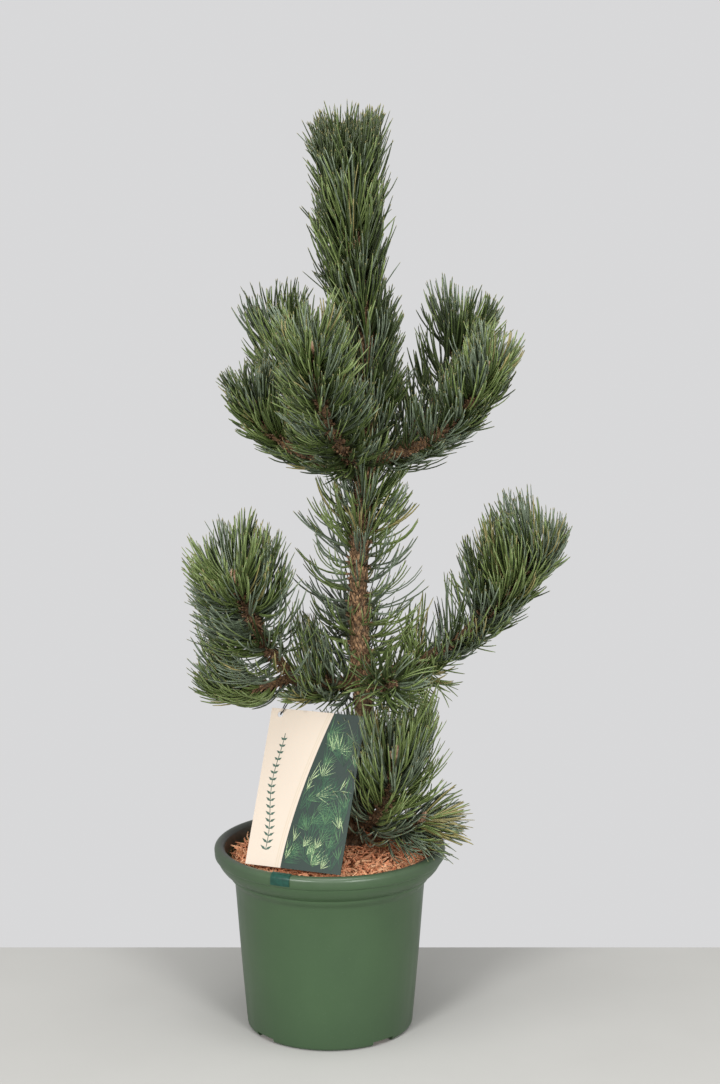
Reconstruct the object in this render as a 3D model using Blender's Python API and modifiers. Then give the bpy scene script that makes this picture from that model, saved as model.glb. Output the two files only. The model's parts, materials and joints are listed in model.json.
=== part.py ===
# A young black pine with upswept, brush-like shoots, growing in a round nursery pot.
# Metres, +Z up. The origin is the centre of the pot's flat underside, and the front is towards -Y.
# Each shoot is a stem that carries bunches of needles. Its bare foot is a bough of its own.

import math
import random
from collections import namedtuple

import bmesh
import bpy
import numpy as np
from mathutils import Matrix, Vector

UP = np.array((0.0, 0.0, 1.0))
GAP = 0.0003                    # what touching pieces keep between them

# Pot
POT_HEIGHT = 0.195
RIM_RADIUS = 0.1205
LIP_DEPTH = 0.0105              # height of the upright band round the rim
LIP_WIDTH = 0.0110              # the lip's rounded top, from its outer side to its inner edge
LIP_FALL = 0.0030               # how far the lip's inner edge lies below its crest
FLARE_RADIUS = 0.0990           # where the rim's flare leaves the body
FLARE_HEIGHT = 0.155
FOOT_RADIUS = 0.0872
FOOT_ROUND = 0.0040
WALL = 0.0024
POT_SIDES = 44
NOTCH_COUNT = 4
NOTCH_WIDTH = 0.026
NOTCH_HEIGHT = 0.005
NOTCH_REACH = 0.011             # how far a drain notch runs in from the foot's edge
NOTCH_TURN = 40.0               # degrees from the front to the first notch

# Mulch
MULCH_EDGE_HEIGHT = 0.174
MULCH_MOUND = 0.006             # its flat middle stands this much above its edge

# Trunk: height, sideways place and radius at each station, from the flat cut to the tip of the leader
TRUNK_STATIONS = (
    (MULCH_EDGE_HEIGHT + MULCH_MOUND + GAP, 0.018, 0.006, 0.0170),
    (0.189, 0.019, 0.006, 0.0138),
    (0.205, 0.022, 0.005, 0.0118),
    (0.260, 0.030, 0.002, 0.0104),
    (0.330, 0.036, 0.000, 0.0098),
    (0.370, 0.033, 0.000, 0.0100),
    (0.478, 0.030, 0.000, 0.0091),
    (0.590, 0.036, 0.000, 0.0092),
    (0.715, 0.036, 0.000, 0.0077),
    (0.765, 0.029, 0.000, 0.0070),
    (0.818, 0.0235, 0.000, 0.0064),
    (0.862, 0.0215, 0.000, 0.0052),
    (0.872, 0.0212, 0.000, 0.0012),
)
TRUNK_STEP = 0.045
TRUNK_UPRIGHT_FOOT = 0.003
SQUARE_END = 0.012              # share of a limb's path that runs straight at each end
UPPER_WHORL = 0.592
LOWER_WHORL = 0.368
LEADER_NEEDLES = (0.640, 0.868) # heights between which the leader carries needles
LEADER_CORE_TOP = 0.866         # the bare tip of the trunk stands out above this
STEM_NEEDLES = (0.388, 0.572)   # and the needles on the trunk between the two whorls
LEFT_RADII = (0.0056, 0.0046)   # of the left bough, at its foot and at its end
BOUGH_SWELL = 1.12              # a bough's foot is this much thicker than its end

# Needles
BUNCH_ROOT = 0.0011             # radius of a bunch where it leaves the stem
BUNCH_MIDDLE = 0.0025
BUNCH_SINK = 0.0030             # how far a bunch's root is sunk in a stem
SLEEVE_SINK = 0.0008            # and in a core that is a sleeve round a limb
BUNCH_CLEARANCE = 0.0022        # what a bunch keeps from limbs and from the next space
BUNCH_SPACING = 1.75            # bunches on one core keep this many of their own radii between them
TRUNK_KEEP = 0.0085             # radius that the bunches of other shoots keep clear round the trunk
TURN_STEP = 2 * math.pi * 0.5698402910      # these two steps spread the bunches evenly, round a stem
SHARE_STEP = 0.7548776662                   # and along it
TURN_START = np.array((0.13, 0.91, 0.37))   # a turn round a limb starts square to this direction
TIP_CROWDING = 1.35             # above 1, bunches crowd towards the bud
CORE_WALL = 0.0021              # wall of a core that is a sleeve round a limb
SHOOT_SEED = 11                 # of the first shoot's dice, and one more for each after it
STEM_SEED = 41
LEFT_SEED = 61

# Label
CARD_WIDTH = 0.1034
CARD_HEIGHT = 0.1617
CARD_THICKNESS = 0.0010
CARD_FOOT = (-0.0361, -0.0931, POT_HEIGHT + 0.0008)     # middle of its lower edge, on the lip
CARD_TURN = -21.2               # degrees about the upright
CARD_LEAN = 25.8                # degrees back from the upright
HOLE_RADIUS = 0.0030
HOLE_FROM_TOP = 0.0061
HOLE_FROM_SIDE = 0.0105
TIE_RADIUS = 0.0007
TIE_NARROW = 0.0050
TIE_WIDE = 0.0105
TIE_OVER = 0.0090               # how far the tie passes above the bough's centre line
TIE_POINTS = 18

Shoot = namedtuple(
    "Shoot",
    "name path bare length spread lift claim hug under along bunches stem",
    defaults=((0.070, 0.062), (56, 36), 0.6, 1.0, 0.45, 0.12, 0.1, 34, (0.0046, 0.0034)),
)


def unit(vector):
    return vector / np.linalg.norm(vector)


def bearing(degrees):
    """The level direction at this many degrees from +X towards +Y."""
    return np.array((math.cos(math.radians(degrees)), math.sin(math.radians(degrees)), 0.0))


def blend(start, end, share):
    return start + (end - start) * share


def trunk_point(height):
    """The trunk's centre at a height, on a smooth curve through its stations."""
    last = len(TRUNK_STATIONS) - 2
    heights = [station[0] for station in TRUNK_STATIONS]
    index = min(max(int(np.searchsorted(heights, height, side="right")) - 1, 0), last)
    before = TRUNK_STATIONS[max(index - 1, 0)]
    low = TRUNK_STATIONS[index]
    high = TRUNK_STATIONS[index + 1]
    after = TRUNK_STATIONS[min(index + 2, last + 1)]
    span = high[0] - low[0]
    share = (height - low[0]) / span
    place = []
    for side in (1, 2):
        slope_low = (high[side] - before[side]) / (high[0] - before[0]) * span
        slope_high = (after[side] - low[side]) / (after[0] - low[0]) * span
        place.append(
            (2 * share**3 - 3 * share**2 + 1) * low[side]
            + (share**3 - 2 * share**2 + share) * slope_low
            + (3 * share**2 - 2 * share**3) * high[side]
            + (share**3 - share**2) * slope_high
        )
    return np.array((place[0], place[1], height))


def trunk_radius(height):
    return float(np.interp(height, [s[0] for s in TRUNK_STATIONS], [s[3] for s in TRUNK_STATIONS]))


def arch(foot, degrees, reach, rise, elbow):
    """A limb's path from its foot past an elbow, at these shares of its reach and rise, to its bud."""
    out = bearing(degrees)
    bend = foot + out * reach * elbow[0] + UP * rise * elbow[1]
    bud = foot + out * reach + UP * rise

    def path(share):
        return (1 - share) ** 2 * foot + 2 * share * (1 - share) * bend + share**2 * bud

    return path


def along_trunk(low, high):
    def path(share):
        return trunk_point(blend(low, high, share))

    return path


def heading(path, share):
    step = 0.01
    return unit(path(min(share + step, 1.0)) - path(max(share - step, 0.0)))


def run_length(path, start, end):
    points = [path(share) for share in np.linspace(start, end, 21)]
    return sum(np.linalg.norm(b - a) for a, b in zip(points, points[1:]))


# The whole set of limbs and shoots, by the place of each foot, its bearing, reach and rise
LEFT_BOUGH = arch(trunk_point(LOWER_WHORL), 188, 0.077, 0.006, (0.5, -1.2))
FORK_SHARE = 0.88               # where the upswept shoot leaves the left bough
SLEEVE_SHARES = (0.27, 0.70)    # the stretch of the left bough that carries needles of its own

SHOOTS = (
    Shoot("left_shoot_front", arch(LEFT_BOUGH(FORK_SHARE), 236, 0.080, 0.115, (0.6, 0.42)), 0.0,
          length=(0.084, 0.066), spread=(66, 40), lift=0.9, hug=0.62, bunches=36),
    Shoot("left_shoot_low", arch(LEFT_BOUGH(0.985), 181, 0.055, -0.008, (0.6, 1.9)), 0.0,
          length=(0.054, 0.060), spread=(58, 34), hug=0.1, bunches=24, stem=(0.0042, 0.0032)),
    Shoot("right_shoot", arch(trunk_point(LOWER_WHORL + 0.004), 0, 0.172, 0.118, (0.62, 0.13)), 0.26,
          length=(0.088, 0.074), spread=(72, 46), lift=1.1, hug=0.72, under=0.42, along=0.0, bunches=38),
    Shoot("front_shoot", arch(trunk_point(LOWER_WHORL + 0.002), 289, 0.098, 0.016, (0.6, 0.2)), 0.26,
          length=(0.070, 0.070), spread=(66, 50), lift=1.0, claim=0.9, hug=0.3, under=0.3, bunches=26),
    Shoot("back_shoot", arch(trunk_point(LOWER_WHORL + 0.003), 95, 0.090, 0.040, (0.7, 0.3)), 0.26,
          length=(0.062, 0.062), lift=0.8, bunches=26),
    Shoot("upper_shoot_left", arch(trunk_point(UPPER_WHORL - 0.008), 180, 0.114, 0.072, (0.85, 0.25)), 0.16,
          length=(0.060, 0.053), spread=(54, 38), bunches=32),
    Shoot("upper_shoot_back_left", arch(trunk_point(UPPER_WHORL + 0.004), 130.5, 0.140, 0.118, (0.80, 0.25)),
          0.16, length=(0.070, 0.064), lift=0.7, bunches=36),
    Shoot("upper_shoot_front", arch(trunk_point(UPPER_WHORL - 0.002), 247, 0.130, 0.130, (0.80, 0.22)), 0.16,
          length=(0.070, 0.064), spread=(56, 38), claim=0.9, hug=0.4, bunches=36),
    Shoot("upper_shoot_right", arch(trunk_point(UPPER_WHORL + 0.004), 331, 0.138, 0.098, (0.80, 0.22)), 0.16,
          length=(0.064, 0.056), spread=(58, 38), lift=0.8, bunches=36),
    Shoot("upper_shoot_back_right", arch(trunk_point(UPPER_WHORL - 0.006), 47, 0.150, 0.128, (0.80, 0.25)),
          0.16, length=(0.074, 0.070), spread=(60, 42), lift=0.7, bunches=36),
    Shoot("upper_shoot_back", arch(trunk_point(UPPER_WHORL + 0.010), 88, 0.100, 0.098, (0.75, 0.25)), 0.16,
          length=(0.070, 0.062), hug=0.4, bunches=28),
    Shoot("foot_shoot_upright", arch(trunk_point(0.208), 304, 0.082, 0.112, (0.85, 0.22)), 0.22,
          length=(0.082, 0.088), spread=(58, 32), lift=0.5, claim=0.6, hug=0.5, bunches=38),
    Shoot("foot_shoot_low", arch(trunk_point(0.193), 328, 0.088, 0.038, (0.6, 0.3)), 0.26,
          length=(0.052, 0.052), spread=(58, 34), lift=0.1, hug=0.2, bunches=24, stem=(0.0034, 0.0026)),
)
LEADER = Shoot("leader", along_trunk(*LEADER_NEEDLES), 0.0, length=(0.064, 0.096), spread=(34, 30), lift=0.45,
               hug=0.0, under=0.0, bunches=56)
STEM = Shoot("trunk", along_trunk(*STEM_NEEDLES), 0.0, length=(0.072, 0.064), spread=(72, 60), lift=0.5,
             claim=0.6, hug=0.0, under=0.0, bunches=32)
LEFT = Shoot("left_bough", LEFT_BOUGH, SLEEVE_SHARES[0], length=(0.074, 0.080), spread=(75, 62), lift=1.3,
             claim=0.6, hug=0.62, bunches=26)


def start_scene():
    for item in list(bpy.data.objects):
        bpy.data.objects.remove(item, do_unlink=True)
    made = []
    for name in ("potted_black_pine", "cutters", "bunches"):
        made.append(bpy.data.collections.new(name))
        bpy.context.scene.collection.children.link(made[-1])
    return made


PLANT, CUTTERS, BUNCHES = start_scene()


def finish(name, colour, roughness):
    """A plain finish of one colour."""
    material = bpy.data.materials.new(name)
    material.use_nodes = True
    shader = material.node_tree.nodes["Principled BSDF"]
    shader.inputs["Base Color"].default_value = (*colour, 1.0)
    shader.inputs["Roughness"].default_value = roughness
    shader.inputs["Metallic"].default_value = 0.0
    return material


POT_GREEN = finish("green_moulded_plastic", (0.084, 0.147, 0.075), 0.45)
BARK = finish("scaly_bark", (0.180, 0.105, 0.065), 0.90)
NEEDLE_GREEN = finish("pine_needles", (0.060, 0.120, 0.050), 0.55)
MULCH_BROWN = finish("bark_mulch", (0.340, 0.130, 0.060), 0.95)
CARD_CREAM = finish("cream_card", (0.800, 0.680, 0.520), 0.50)
TIE_DARK = finish("dark_tie", (0.030, 0.035, 0.030), 0.50)


def add_object(name, mesh, collection, material):
    item = bpy.data.objects.new(name, mesh)
    collection.objects.link(item)
    mesh.materials.clear()
    mesh.materials.append(material)
    return item


def as_made(item):
    """The object's mesh with its modifiers applied and the ends of a curve's tube welded on."""
    evaluated = item.evaluated_get(bpy.context.evaluated_depsgraph_get())
    mesh = bpy.data.meshes.new_from_object(evaluated)
    work = bmesh.new()
    work.from_mesh(mesh)
    bmesh.ops.remove_doubles(work, verts=work.verts, dist=1e-6)
    work.to_mesh(mesh)
    work.free()
    return mesh


def tube(name, points, radii, collection, material, roundness=1, cyclic=False):
    """A round limb along these points, with a radius at each. It has 4 + 2 * roundness sides."""
    curve = bpy.data.curves.new(name, "CURVE")
    curve.dimensions = "3D"
    curve.bevel_depth = 1.0
    curve.bevel_resolution = roundness
    curve.use_fill_caps = not cyclic
    spline = curve.splines.new("POLY")
    spline.points.add(len(points) - 1)
    spline.use_cyclic_u = cyclic
    for control, point, radius in zip(spline.points, points, radii):
        control.co = (*point, 1.0)
        control.radius = radius
    guide = bpy.data.objects.new(name + "_guide", curve)
    collection.objects.link(guide)
    mesh = as_made(guide)
    bpy.data.objects.remove(guide, do_unlink=True)
    mesh.name = name
    item = add_object(name, mesh, collection, material)
    mesh.shade_smooth()
    mesh.set_sharp_from_angle(angle=math.radians(50))
    return item


def apply_modifiers(item):
    mesh = as_made(item)
    item.modifiers.clear()
    item.data = mesh


def cut(item, cutter):
    """Takes the cutter's shape away from the item."""
    modifier = item.modifiers.new("cut_" + cutter.name, "BOOLEAN")
    modifier.operation = "DIFFERENCE"
    modifier.solver = "EXACT"
    modifier.object = cutter
    apply_modifiers(item)


def as_cutter(item):
    item.hide_render = True
    item.display_type = "WIRE"
    return item


def turned(name, profile, collection, material):
    """A turned solid from its half profile, which starts and ends on the axis."""
    mesh = bpy.data.meshes.new(name)
    edges = [(k, k + 1) for k in range(len(profile) - 1)]
    mesh.from_pydata([(radius, 0.0, height) for radius, height in profile], edges, [])
    item = add_object(name, mesh, collection, material)
    screw = item.modifiers.new("turn", "SCREW")
    screw.steps = POT_SIDES
    screw.render_steps = POT_SIDES
    screw.use_merge_vertices = True
    screw.merge_threshold = 0.00001
    return item


def pot_outside():
    """The pot's outer profile, from the lip down to the foot."""
    lip_foot = POT_HEIGHT - LIP_DEPTH
    flare = []
    for share in (0.25, 0.5, 0.75, 1.0):
        height = blend(lip_foot, FLARE_HEIGHT, share)
        radius = blend(RIM_RADIUS, FLARE_RADIUS, share**1.15)
        flare.append((radius, height))
    return [
        (RIM_RADIUS - LIP_WIDTH * 0.45, POT_HEIGHT),
        (RIM_RADIUS - LIP_WIDTH * 0.15, POT_HEIGHT - 0.0012),
        (RIM_RADIUS, POT_HEIGHT - 0.0045),
        (RIM_RADIUS - 0.0005, lip_foot),
        *flare,
        (FOOT_RADIUS + 0.0008, 0.012),
        (FOOT_RADIUS - 0.0008, FOOT_ROUND),
        (FOOT_RADIUS - FOOT_ROUND, 0.0),
    ]


def pot_inside():
    """The pot's inner profile, from the floor up to the lip."""
    edge = RIM_RADIUS - LIP_WIDTH
    return [
        (FOOT_RADIUS - FOOT_ROUND - WALL, WALL),
        (FOOT_RADIUS - WALL, 0.012),
        (FLARE_RADIUS - WALL, FLARE_HEIGHT),
        (blend(FLARE_RADIUS - WALL, edge, 0.8), blend(FLARE_HEIGHT, POT_HEIGHT, 0.5)),
        (edge - 0.0008, POT_HEIGHT - LIP_DEPTH),
        (edge, POT_HEIGHT - LIP_FALL),
        (edge + 0.0016, POT_HEIGHT - 0.0012),
    ]


def make_pot():
    pot = turned("pot", [(0.0, WALL), *pot_inside(), *pot_outside(), (0.0, 0.0)], PLANT, POT_GREEN)
    apply_modifiers(pot)
    for number in range(NOTCH_COUNT):
        turn = math.radians(NOTCH_TURN + 360 / NOTCH_COUNT * number - 90)
        bpy.ops.mesh.primitive_cube_add(size=1.0)
        notch = as_cutter(bpy.context.object)
        notch.name = f"drain_notch_{number + 1}"
        place = Matrix.Rotation(turn, 4, "Z") @ Matrix.Translation((FOOT_RADIUS, 0.0, 0.0))
        notch.data.transform(place @ Matrix.Diagonal((2 * NOTCH_REACH, NOTCH_WIDTH, 2 * NOTCH_HEIGHT, 1.0)))
        cut(pot, notch)
        bpy.data.objects.remove(notch, do_unlink=True)
    pot.data.shade_smooth()
    pot.data.set_sharp_from_angle(angle=math.radians(40))


def wall_radius(height):
    """The pot's inner radius at a height."""
    profile = pot_inside()
    return float(np.interp(height, [p[1] for p in profile], [p[0] for p in profile]))


def make_mulch():
    """The filling: it follows the pot's inner wall, and its top rises a little towards the trunk."""
    heights = [WALL + GAP, 0.012, FLARE_HEIGHT, MULCH_EDGE_HEIGHT - 0.006, MULCH_EDGE_HEIGHT]
    side = [(wall_radius(height) - GAP, height) for height in reversed(heights)]
    edge = side[0][0]
    top = MULCH_EDGE_HEIGHT + MULCH_MOUND
    mound = [(0.0, top), (edge * 0.4, top), (edge * 0.75, MULCH_EDGE_HEIGHT + MULCH_MOUND * 0.55)]
    profile = [*mound, *side, (0.0, WALL + GAP)]
    mulch = turned("potting_mulch", profile, PLANT, MULCH_BROWN)
    apply_modifiers(mulch)


def trunk_tube(name, collection, grow):
    """The trunk, or with a width to grow by, the space it needs."""
    low = TRUNK_STATIONS[0][0]
    high = TRUNK_STATIONS[-1][0]
    steps = math.ceil((high - low) / TRUNK_STEP)
    between = {blend(low, high, k / steps) for k in range(1, steps)}
    heights = sorted({station[0] for station in TRUNK_STATIONS} | between)
    points = [trunk_point(height) for height in heights]
    radii = [trunk_radius(height) + grow for height in heights]
    points.insert(1, points[0] + UP * TRUNK_UPRIGHT_FOOT)
    radii.insert(1, trunk_radius(low + TRUNK_UPRIGHT_FOOT) + grow)
    return tube(name, points, radii, collection, BARK, roundness=3)


def limb(name, path, start, end, radii, collection=PLANT, material=BARK, grow=0.0, pieces=7):
    """A tapering limb along part of a path, with a short straight stretch at each end to square its caps."""
    shares = [start, *np.linspace(start + SQUARE_END, end - SQUARE_END, pieces - 2), end]
    points = [path(share) for share in shares]
    widths = [blend(radii[0], radii[1], (share - start) / (end - start)) + grow for share in shares]
    return tube(name, points, widths, collection, material)


def card_place():
    """Puts the card's own frame, with its foot at the origin and its height along Z, in the pot."""
    turn = Matrix.Rotation(math.radians(CARD_TURN), 4, "Z")
    lean = Matrix.Rotation(math.radians(-CARD_LEAN), 4, "X")
    return Matrix.Translation(CARD_FOOT) @ turn @ lean


def make_card():
    """The label: a thin card that stands on the lip, leans back and has a punched hole in its top corner."""
    bpy.ops.mesh.primitive_cube_add(size=1.0)
    card = bpy.context.object
    card.name = "label_card"
    card.data.transform(Matrix.Translation((0.0, 0.0, 0.5)))
    card.data.transform(card_place() @ Matrix.Diagonal((CARD_WIDTH, CARD_THICKNESS, CARD_HEIGHT, 1.0)))
    card.data.materials.append(CARD_CREAM)
    for old in list(card.users_collection):
        old.objects.unlink(card)
    PLANT.objects.link(card)
    punch_hole(card)


def hole_centre():
    local = (HOLE_FROM_SIDE - CARD_WIDTH / 2, 0.0, CARD_HEIGHT - HOLE_FROM_TOP)
    return np.array(card_place() @ Vector(local))


def punch_hole(card):
    bpy.ops.mesh.primitive_cylinder_add(vertices=12, radius=HOLE_RADIUS, depth=0.02)
    punch = as_cutter(bpy.context.object)
    punch.data.transform(Matrix.Rotation(math.radians(90), 4, "X"))
    punch.data.transform(card_place().to_3x3().to_4x4())
    punch.data.transform(Matrix.Translation(hole_centre()))
    cut(card, punch)
    bpy.data.objects.remove(punch, do_unlink=True)


def tie_points():
    """An egg-shaped ring from the card's hole up and round the left bough."""
    bottom = hole_centre()
    share = (SLEEVE_SHARES[1] + FORK_SHARE) / 2
    top = LEFT_BOUGH(share) + UP * TIE_OVER
    up_way = unit(top - bottom)
    out_way = unit(np.cross(up_way, heading(LEFT_BOUGH, share)))
    half = np.linalg.norm(top - bottom) / 2
    points = []
    for k in range(TIE_POINTS):
        angle = 2 * math.pi * k / TIE_POINTS
        rise = -math.cos(angle)
        width = blend(TIE_NARROW, TIE_WIDE, (1 + rise) / 2)
        points.append((bottom + top) / 2 + up_way * half * rise + out_way * width * math.sin(angle))
    return points


def needle_line(shoot, share, turn, dice, depth):
    """Three points of one bunch: its root in the stem, this far from the middle, its bend and its tip."""
    along = heading(shoot.path, share)
    first = unit(np.cross(along, TURN_START))
    second = np.cross(along, first)
    side = math.cos(turn) * first + math.sin(turn) * second
    grown = (share - shoot.bare) / (1 - shoot.bare)
    below = max(-side[2], 0.0)
    spread = blend(shoot.spread[0], shoot.spread[1], grown**1.3) * (1 - shoot.hug * below)
    spread = math.radians(spread * dice.uniform(0.75, 1.20))
    out = along * math.cos(spread) + side * math.sin(spread)
    reach = blend(shoot.length[0], shoot.length[1], grown) * dice.uniform(0.88, 1.10)
    reach *= 1 - shoot.under * below
    lifted = unit(out + shoot.lift * UP + shoot.along * along)
    root = shoot.path(share) + side * depth
    bend = root + reach * (out * 0.375 + lifted * 0.125)
    tip = root + reach * (out + lifted) * 0.5
    return root, bend, tip


def spine(shoot):
    """Points along the shoot's own middle, which mark its space."""
    return np.array([shoot.path(share) for share in np.linspace(max(shoot.bare, 0.05), 1.0, 24)])


SPINES = {shoot.name: (spine(shoot), shoot.claim) for shoot in (*SHOOTS, LEADER, STEM, LEFT)}


def nearness(name, point):
    points, claim = SPINES[name]
    return float(np.min(np.linalg.norm(points - point, axis=1))) * claim


def in_own_space(name, points):
    """Whether each point lies nearer to this shoot than to any other."""
    for point in points:
        own = nearness(name, point) + BUNCH_CLEARANCE + BUNCH_MIDDLE
        if any(nearness(other, point) < own for other in SPINES if other != name):
            return False
    return True


def touches(obstacles, points):
    """Whether the line through these points passes too near a limb, the tie, the card or the pot."""
    keep = BUNCH_CLEARANCE + BUNCH_MIDDLE
    card_frame = card_place().inverted()
    for start, end in zip(points, points[1:]):
        for share in np.linspace(0.1, 1.0, 8):
            point = blend(start, end, share)
            for line, radius in obstacles:
                if float(np.min(np.linalg.norm(line - point, axis=1))) < radius + keep:
                    return True
            if near_card(card_frame @ Vector(point), keep) or near_pot(point, keep):
                return True
    return False


def near_card(point, keep):
    """Whether a point in the card's own frame is this near to it."""
    across, through, height = point
    return abs(across) < CARD_WIDTH / 2 + keep and abs(through) < keep and -keep < height < CARD_HEIGHT + keep


def near_pot(point, keep):
    from_axis = math.hypot(point[0], point[1])
    over_mulch = from_axis < RIM_RADIUS + keep and point[2] < MULCH_EDGE_HEIGHT + MULCH_MOUND + keep
    over_lip = RIM_RADIUS - LIP_WIDTH - keep < from_axis < RIM_RADIUS + keep and point[2] < POT_HEIGHT + keep
    return over_mulch or over_lip


def crosses(placed, line):
    """Whether a bunch would run into one that is already on the core."""
    if not placed:
        return False
    gaps = np.linalg.norm(np.concatenate(placed)[:, None] - line[None], axis=2)
    return float(gaps.min()) < BUNCH_SPACING * BUNCH_MIDDLE


def bunch_line(clear, bend, tip):
    """Points along a bunch, from where it is clear of its core to just short of its tip."""
    lower = [blend(clear, bend, k / 5) for k in range(1, 6)]
    upper = [blend(bend, tip, k / 8) for k in range(1, 8)]
    return np.array(lower + upper)


def bunch_mesh(name, root, bend, tip):
    """A three-sided bunch of needles, thickest at its bend and sharp at its tip."""
    mesh = bpy.data.meshes.new(name)
    work = bmesh.new()
    along = unit(bend - root)
    first = unit(np.cross(along, TURN_START))
    second = np.cross(along, first)
    rings = []
    for centre, radius in ((root, BUNCH_ROOT), (bend, BUNCH_MIDDLE)):
        ring = []
        for k in range(3):
            angle = 2 * math.pi * k / 3
            side = math.cos(angle) * first + math.sin(angle) * second
            ring.append(work.verts.new(centre + radius * side))
        rings.append(ring)
    point = work.verts.new(tip)
    work.faces.new(rings[0])
    for k in range(3):
        after = (k + 1) % 3
        work.faces.new((rings[0][k], rings[0][after], rings[1][after], rings[1][k]))
        work.faces.new((rings[1][k], rings[1][after], point))
    bmesh.ops.recalc_face_normals(work, faces=work.faces)
    bmesh.ops.triangulate(work, faces=work.faces)
    work.to_mesh(mesh)
    work.free()
    return mesh


def add_needles(core, shoot, span, radius, sink, obstacles, seed):
    """Fuses bunches of needles on a core, evenly all round. One that would leave its space is skipped."""
    dice = random.Random(seed)
    turn = dice.uniform(0, 2 * math.pi)
    placed = []
    tries = 0
    while len(placed) < shoot.bunches and tries < 12 * shoot.bunches:
        tries += 1
        turn += TURN_STEP
        share = blend(span[1], span[0], ((tries * SHARE_STEP) % 1.0) ** TIP_CROWDING)
        root, bend, tip = needle_line(shoot, share, turn, dice, radius(share) - sink)
        clear = root + unit(bend - root) * (sink + BUNCH_CLEARANCE + BUNCH_MIDDLE)
        if not in_own_space(shoot.name, (clear, bend, (bend + tip) / 2, tip)):
            continue
        line = bunch_line(clear, bend, tip)
        if touches(obstacles, (clear, bend, tip)) or crosses(placed, line):
            continue
        placed.append(line)
        name = f"{shoot.name}_bunch_{len(placed)}"
        add_object(name, bunch_mesh(name, root, bend, tip), BUNCHES, NEEDLE_GREEN)
    fuse_bunches(core)


def fuse_bunches(core):
    union = core.modifiers.new("fuse_needles", "BOOLEAN")
    union.operation = "UNION"
    union.solver = "MANIFOLD"
    union.operand_type = "COLLECTION"
    union.collection = BUNCHES
    apply_modifiers(core)
    keep_one_body(core.data)
    core.data.materials.clear()
    core.data.materials.append(NEEDLE_GREEN)
    for item in list(BUNCHES.objects):
        bpy.data.objects.remove(item, do_unlink=True)


def keep_one_body(mesh):
    """Drops the loose scraps and fills the sealed hollows that fusing can leave."""
    work = bmesh.new()
    work.from_mesh(mesh)
    unseen = set(work.verts)
    islands = []
    while unseen:
        island = {unseen.pop()}
        edge = list(island)
        while edge:
            vert = edge.pop()
            near = {side.other_vert(vert) for side in vert.link_edges} & unseen
            unseen -= near
            island |= near
            edge.extend(near)
        islands.append(island)
    islands.sort(key=len)
    for island in islands[:-1]:
        bmesh.ops.delete(work, geom=list(island), context="VERTS")
    work.to_mesh(mesh)
    work.free()


def sampled(path, start, end):
    return np.array([path(share) for share in np.linspace(start, end, 40)])


def make_left_bough(trunk_space):
    """The left bough runs on through its own needles to the fork. Returns the space that it needs in them."""
    left = limb("left_bough", LEFT_BOUGH, 0.0, 1.0, LEFT_RADII, pieces=9)
    cut(left, trunk_space)
    space = limb("left_bough_space", LEFT_BOUGH, 0.0, 1.0, LEFT_RADII, CUTTERS, grow=GAP, pieces=9)
    return as_cutter(space)


def make_bough(shoot, trunk_space):
    """The bare foot of a shoot, which ends where the shoot's needles begin."""
    radii = (shoot.stem[0] * BOUGH_SWELL, shoot.stem[0])
    bough = limb(shoot.name.replace("shoot", "bough"), shoot.path, 0.0, shoot.bare, radii, pieces=4)
    cut(bough, trunk_space)


def lines_to_clear(ring):
    """The middle line and radius of each limb, and of the tie, that the bunches keep clear of."""
    low = TRUNK_STATIONS[0][0] + GAP
    trunk_line = np.array([trunk_point(height) for height in np.linspace(low, LEADER_CORE_TOP, 120)])
    lines = {
        "trunk": (trunk_line, TRUNK_KEEP),
        "left_bough": (sampled(LEFT_BOUGH, 0.0, 1.0), LEFT_RADII[1]),
        "label_tie": (np.array(ring), TIE_RADIUS),
    }
    for shoot in SHOOTS:
        if shoot.bare:
            lines[shoot.name] = (sampled(shoot.path, 0.0, shoot.bare), shoot.stem[0])
    return lines


def make_shoot(number, shoot, cutters, lines):
    """A mass of needles on a stem that goes on from its bough, a hair's gap away."""
    start = 0.0
    if shoot.bare:
        start = shoot.bare + GAP / run_length(shoot.path, 0.0, 1.0)
    stem = limb(shoot.name + "_needles", shoot.path, start, 1.0, shoot.stem)
    for cutter in cutters:
        cut(stem, cutter)

    def radius(share):
        return blend(*shoot.stem, share)

    span = (max(shoot.bare, 0.06) + 0.04, 0.99)
    add_needles(stem, shoot, span, radius, BUNCH_SINK, list(lines.values()), SHOOT_SEED + number)


def make_trunk_sleeve(shoot, low, high, trunk_space, lines):
    """Needles on a sleeve round a stretch of the trunk, which stays whole inside it."""
    heights = np.linspace(low, high, 7)
    radii = [trunk_radius(height) + GAP + CORE_WALL for height in heights]
    points = [trunk_point(height) for height in heights]
    core = tube(shoot.name + "_needles", points, radii, PLANT, NEEDLE_GREEN, roundness=3)

    def radius(share):
        return float(np.interp(share, np.linspace(0, 1, len(radii)), radii))

    others = [line for name, line in lines.items() if name != "trunk"]
    add_needles(core, shoot, (0.02, 0.97), radius, SLEEVE_SINK, others, STEM_SEED)
    cut(core, trunk_space)


def make_left_sleeve(left_space, lines):
    """Needles on a sleeve round the middle of the left bough."""
    radii = [radius + GAP + CORE_WALL for radius in LEFT_RADII]
    core = limb("left_bough_needles", LEFT_BOUGH, *SLEEVE_SHARES, radii, material=NEEDLE_GREEN, pieces=6)

    def radius(share):
        return blend(*radii, share)

    span = (SLEEVE_SHARES[0] + 0.03, SLEEVE_SHARES[1] - 0.03)
    others = [line for name, line in lines.items() if name != "left_bough"]
    add_needles(core, LEFT, span, radius, SLEEVE_SINK, others, LEFT_SEED)
    cut(core, left_space)


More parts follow.
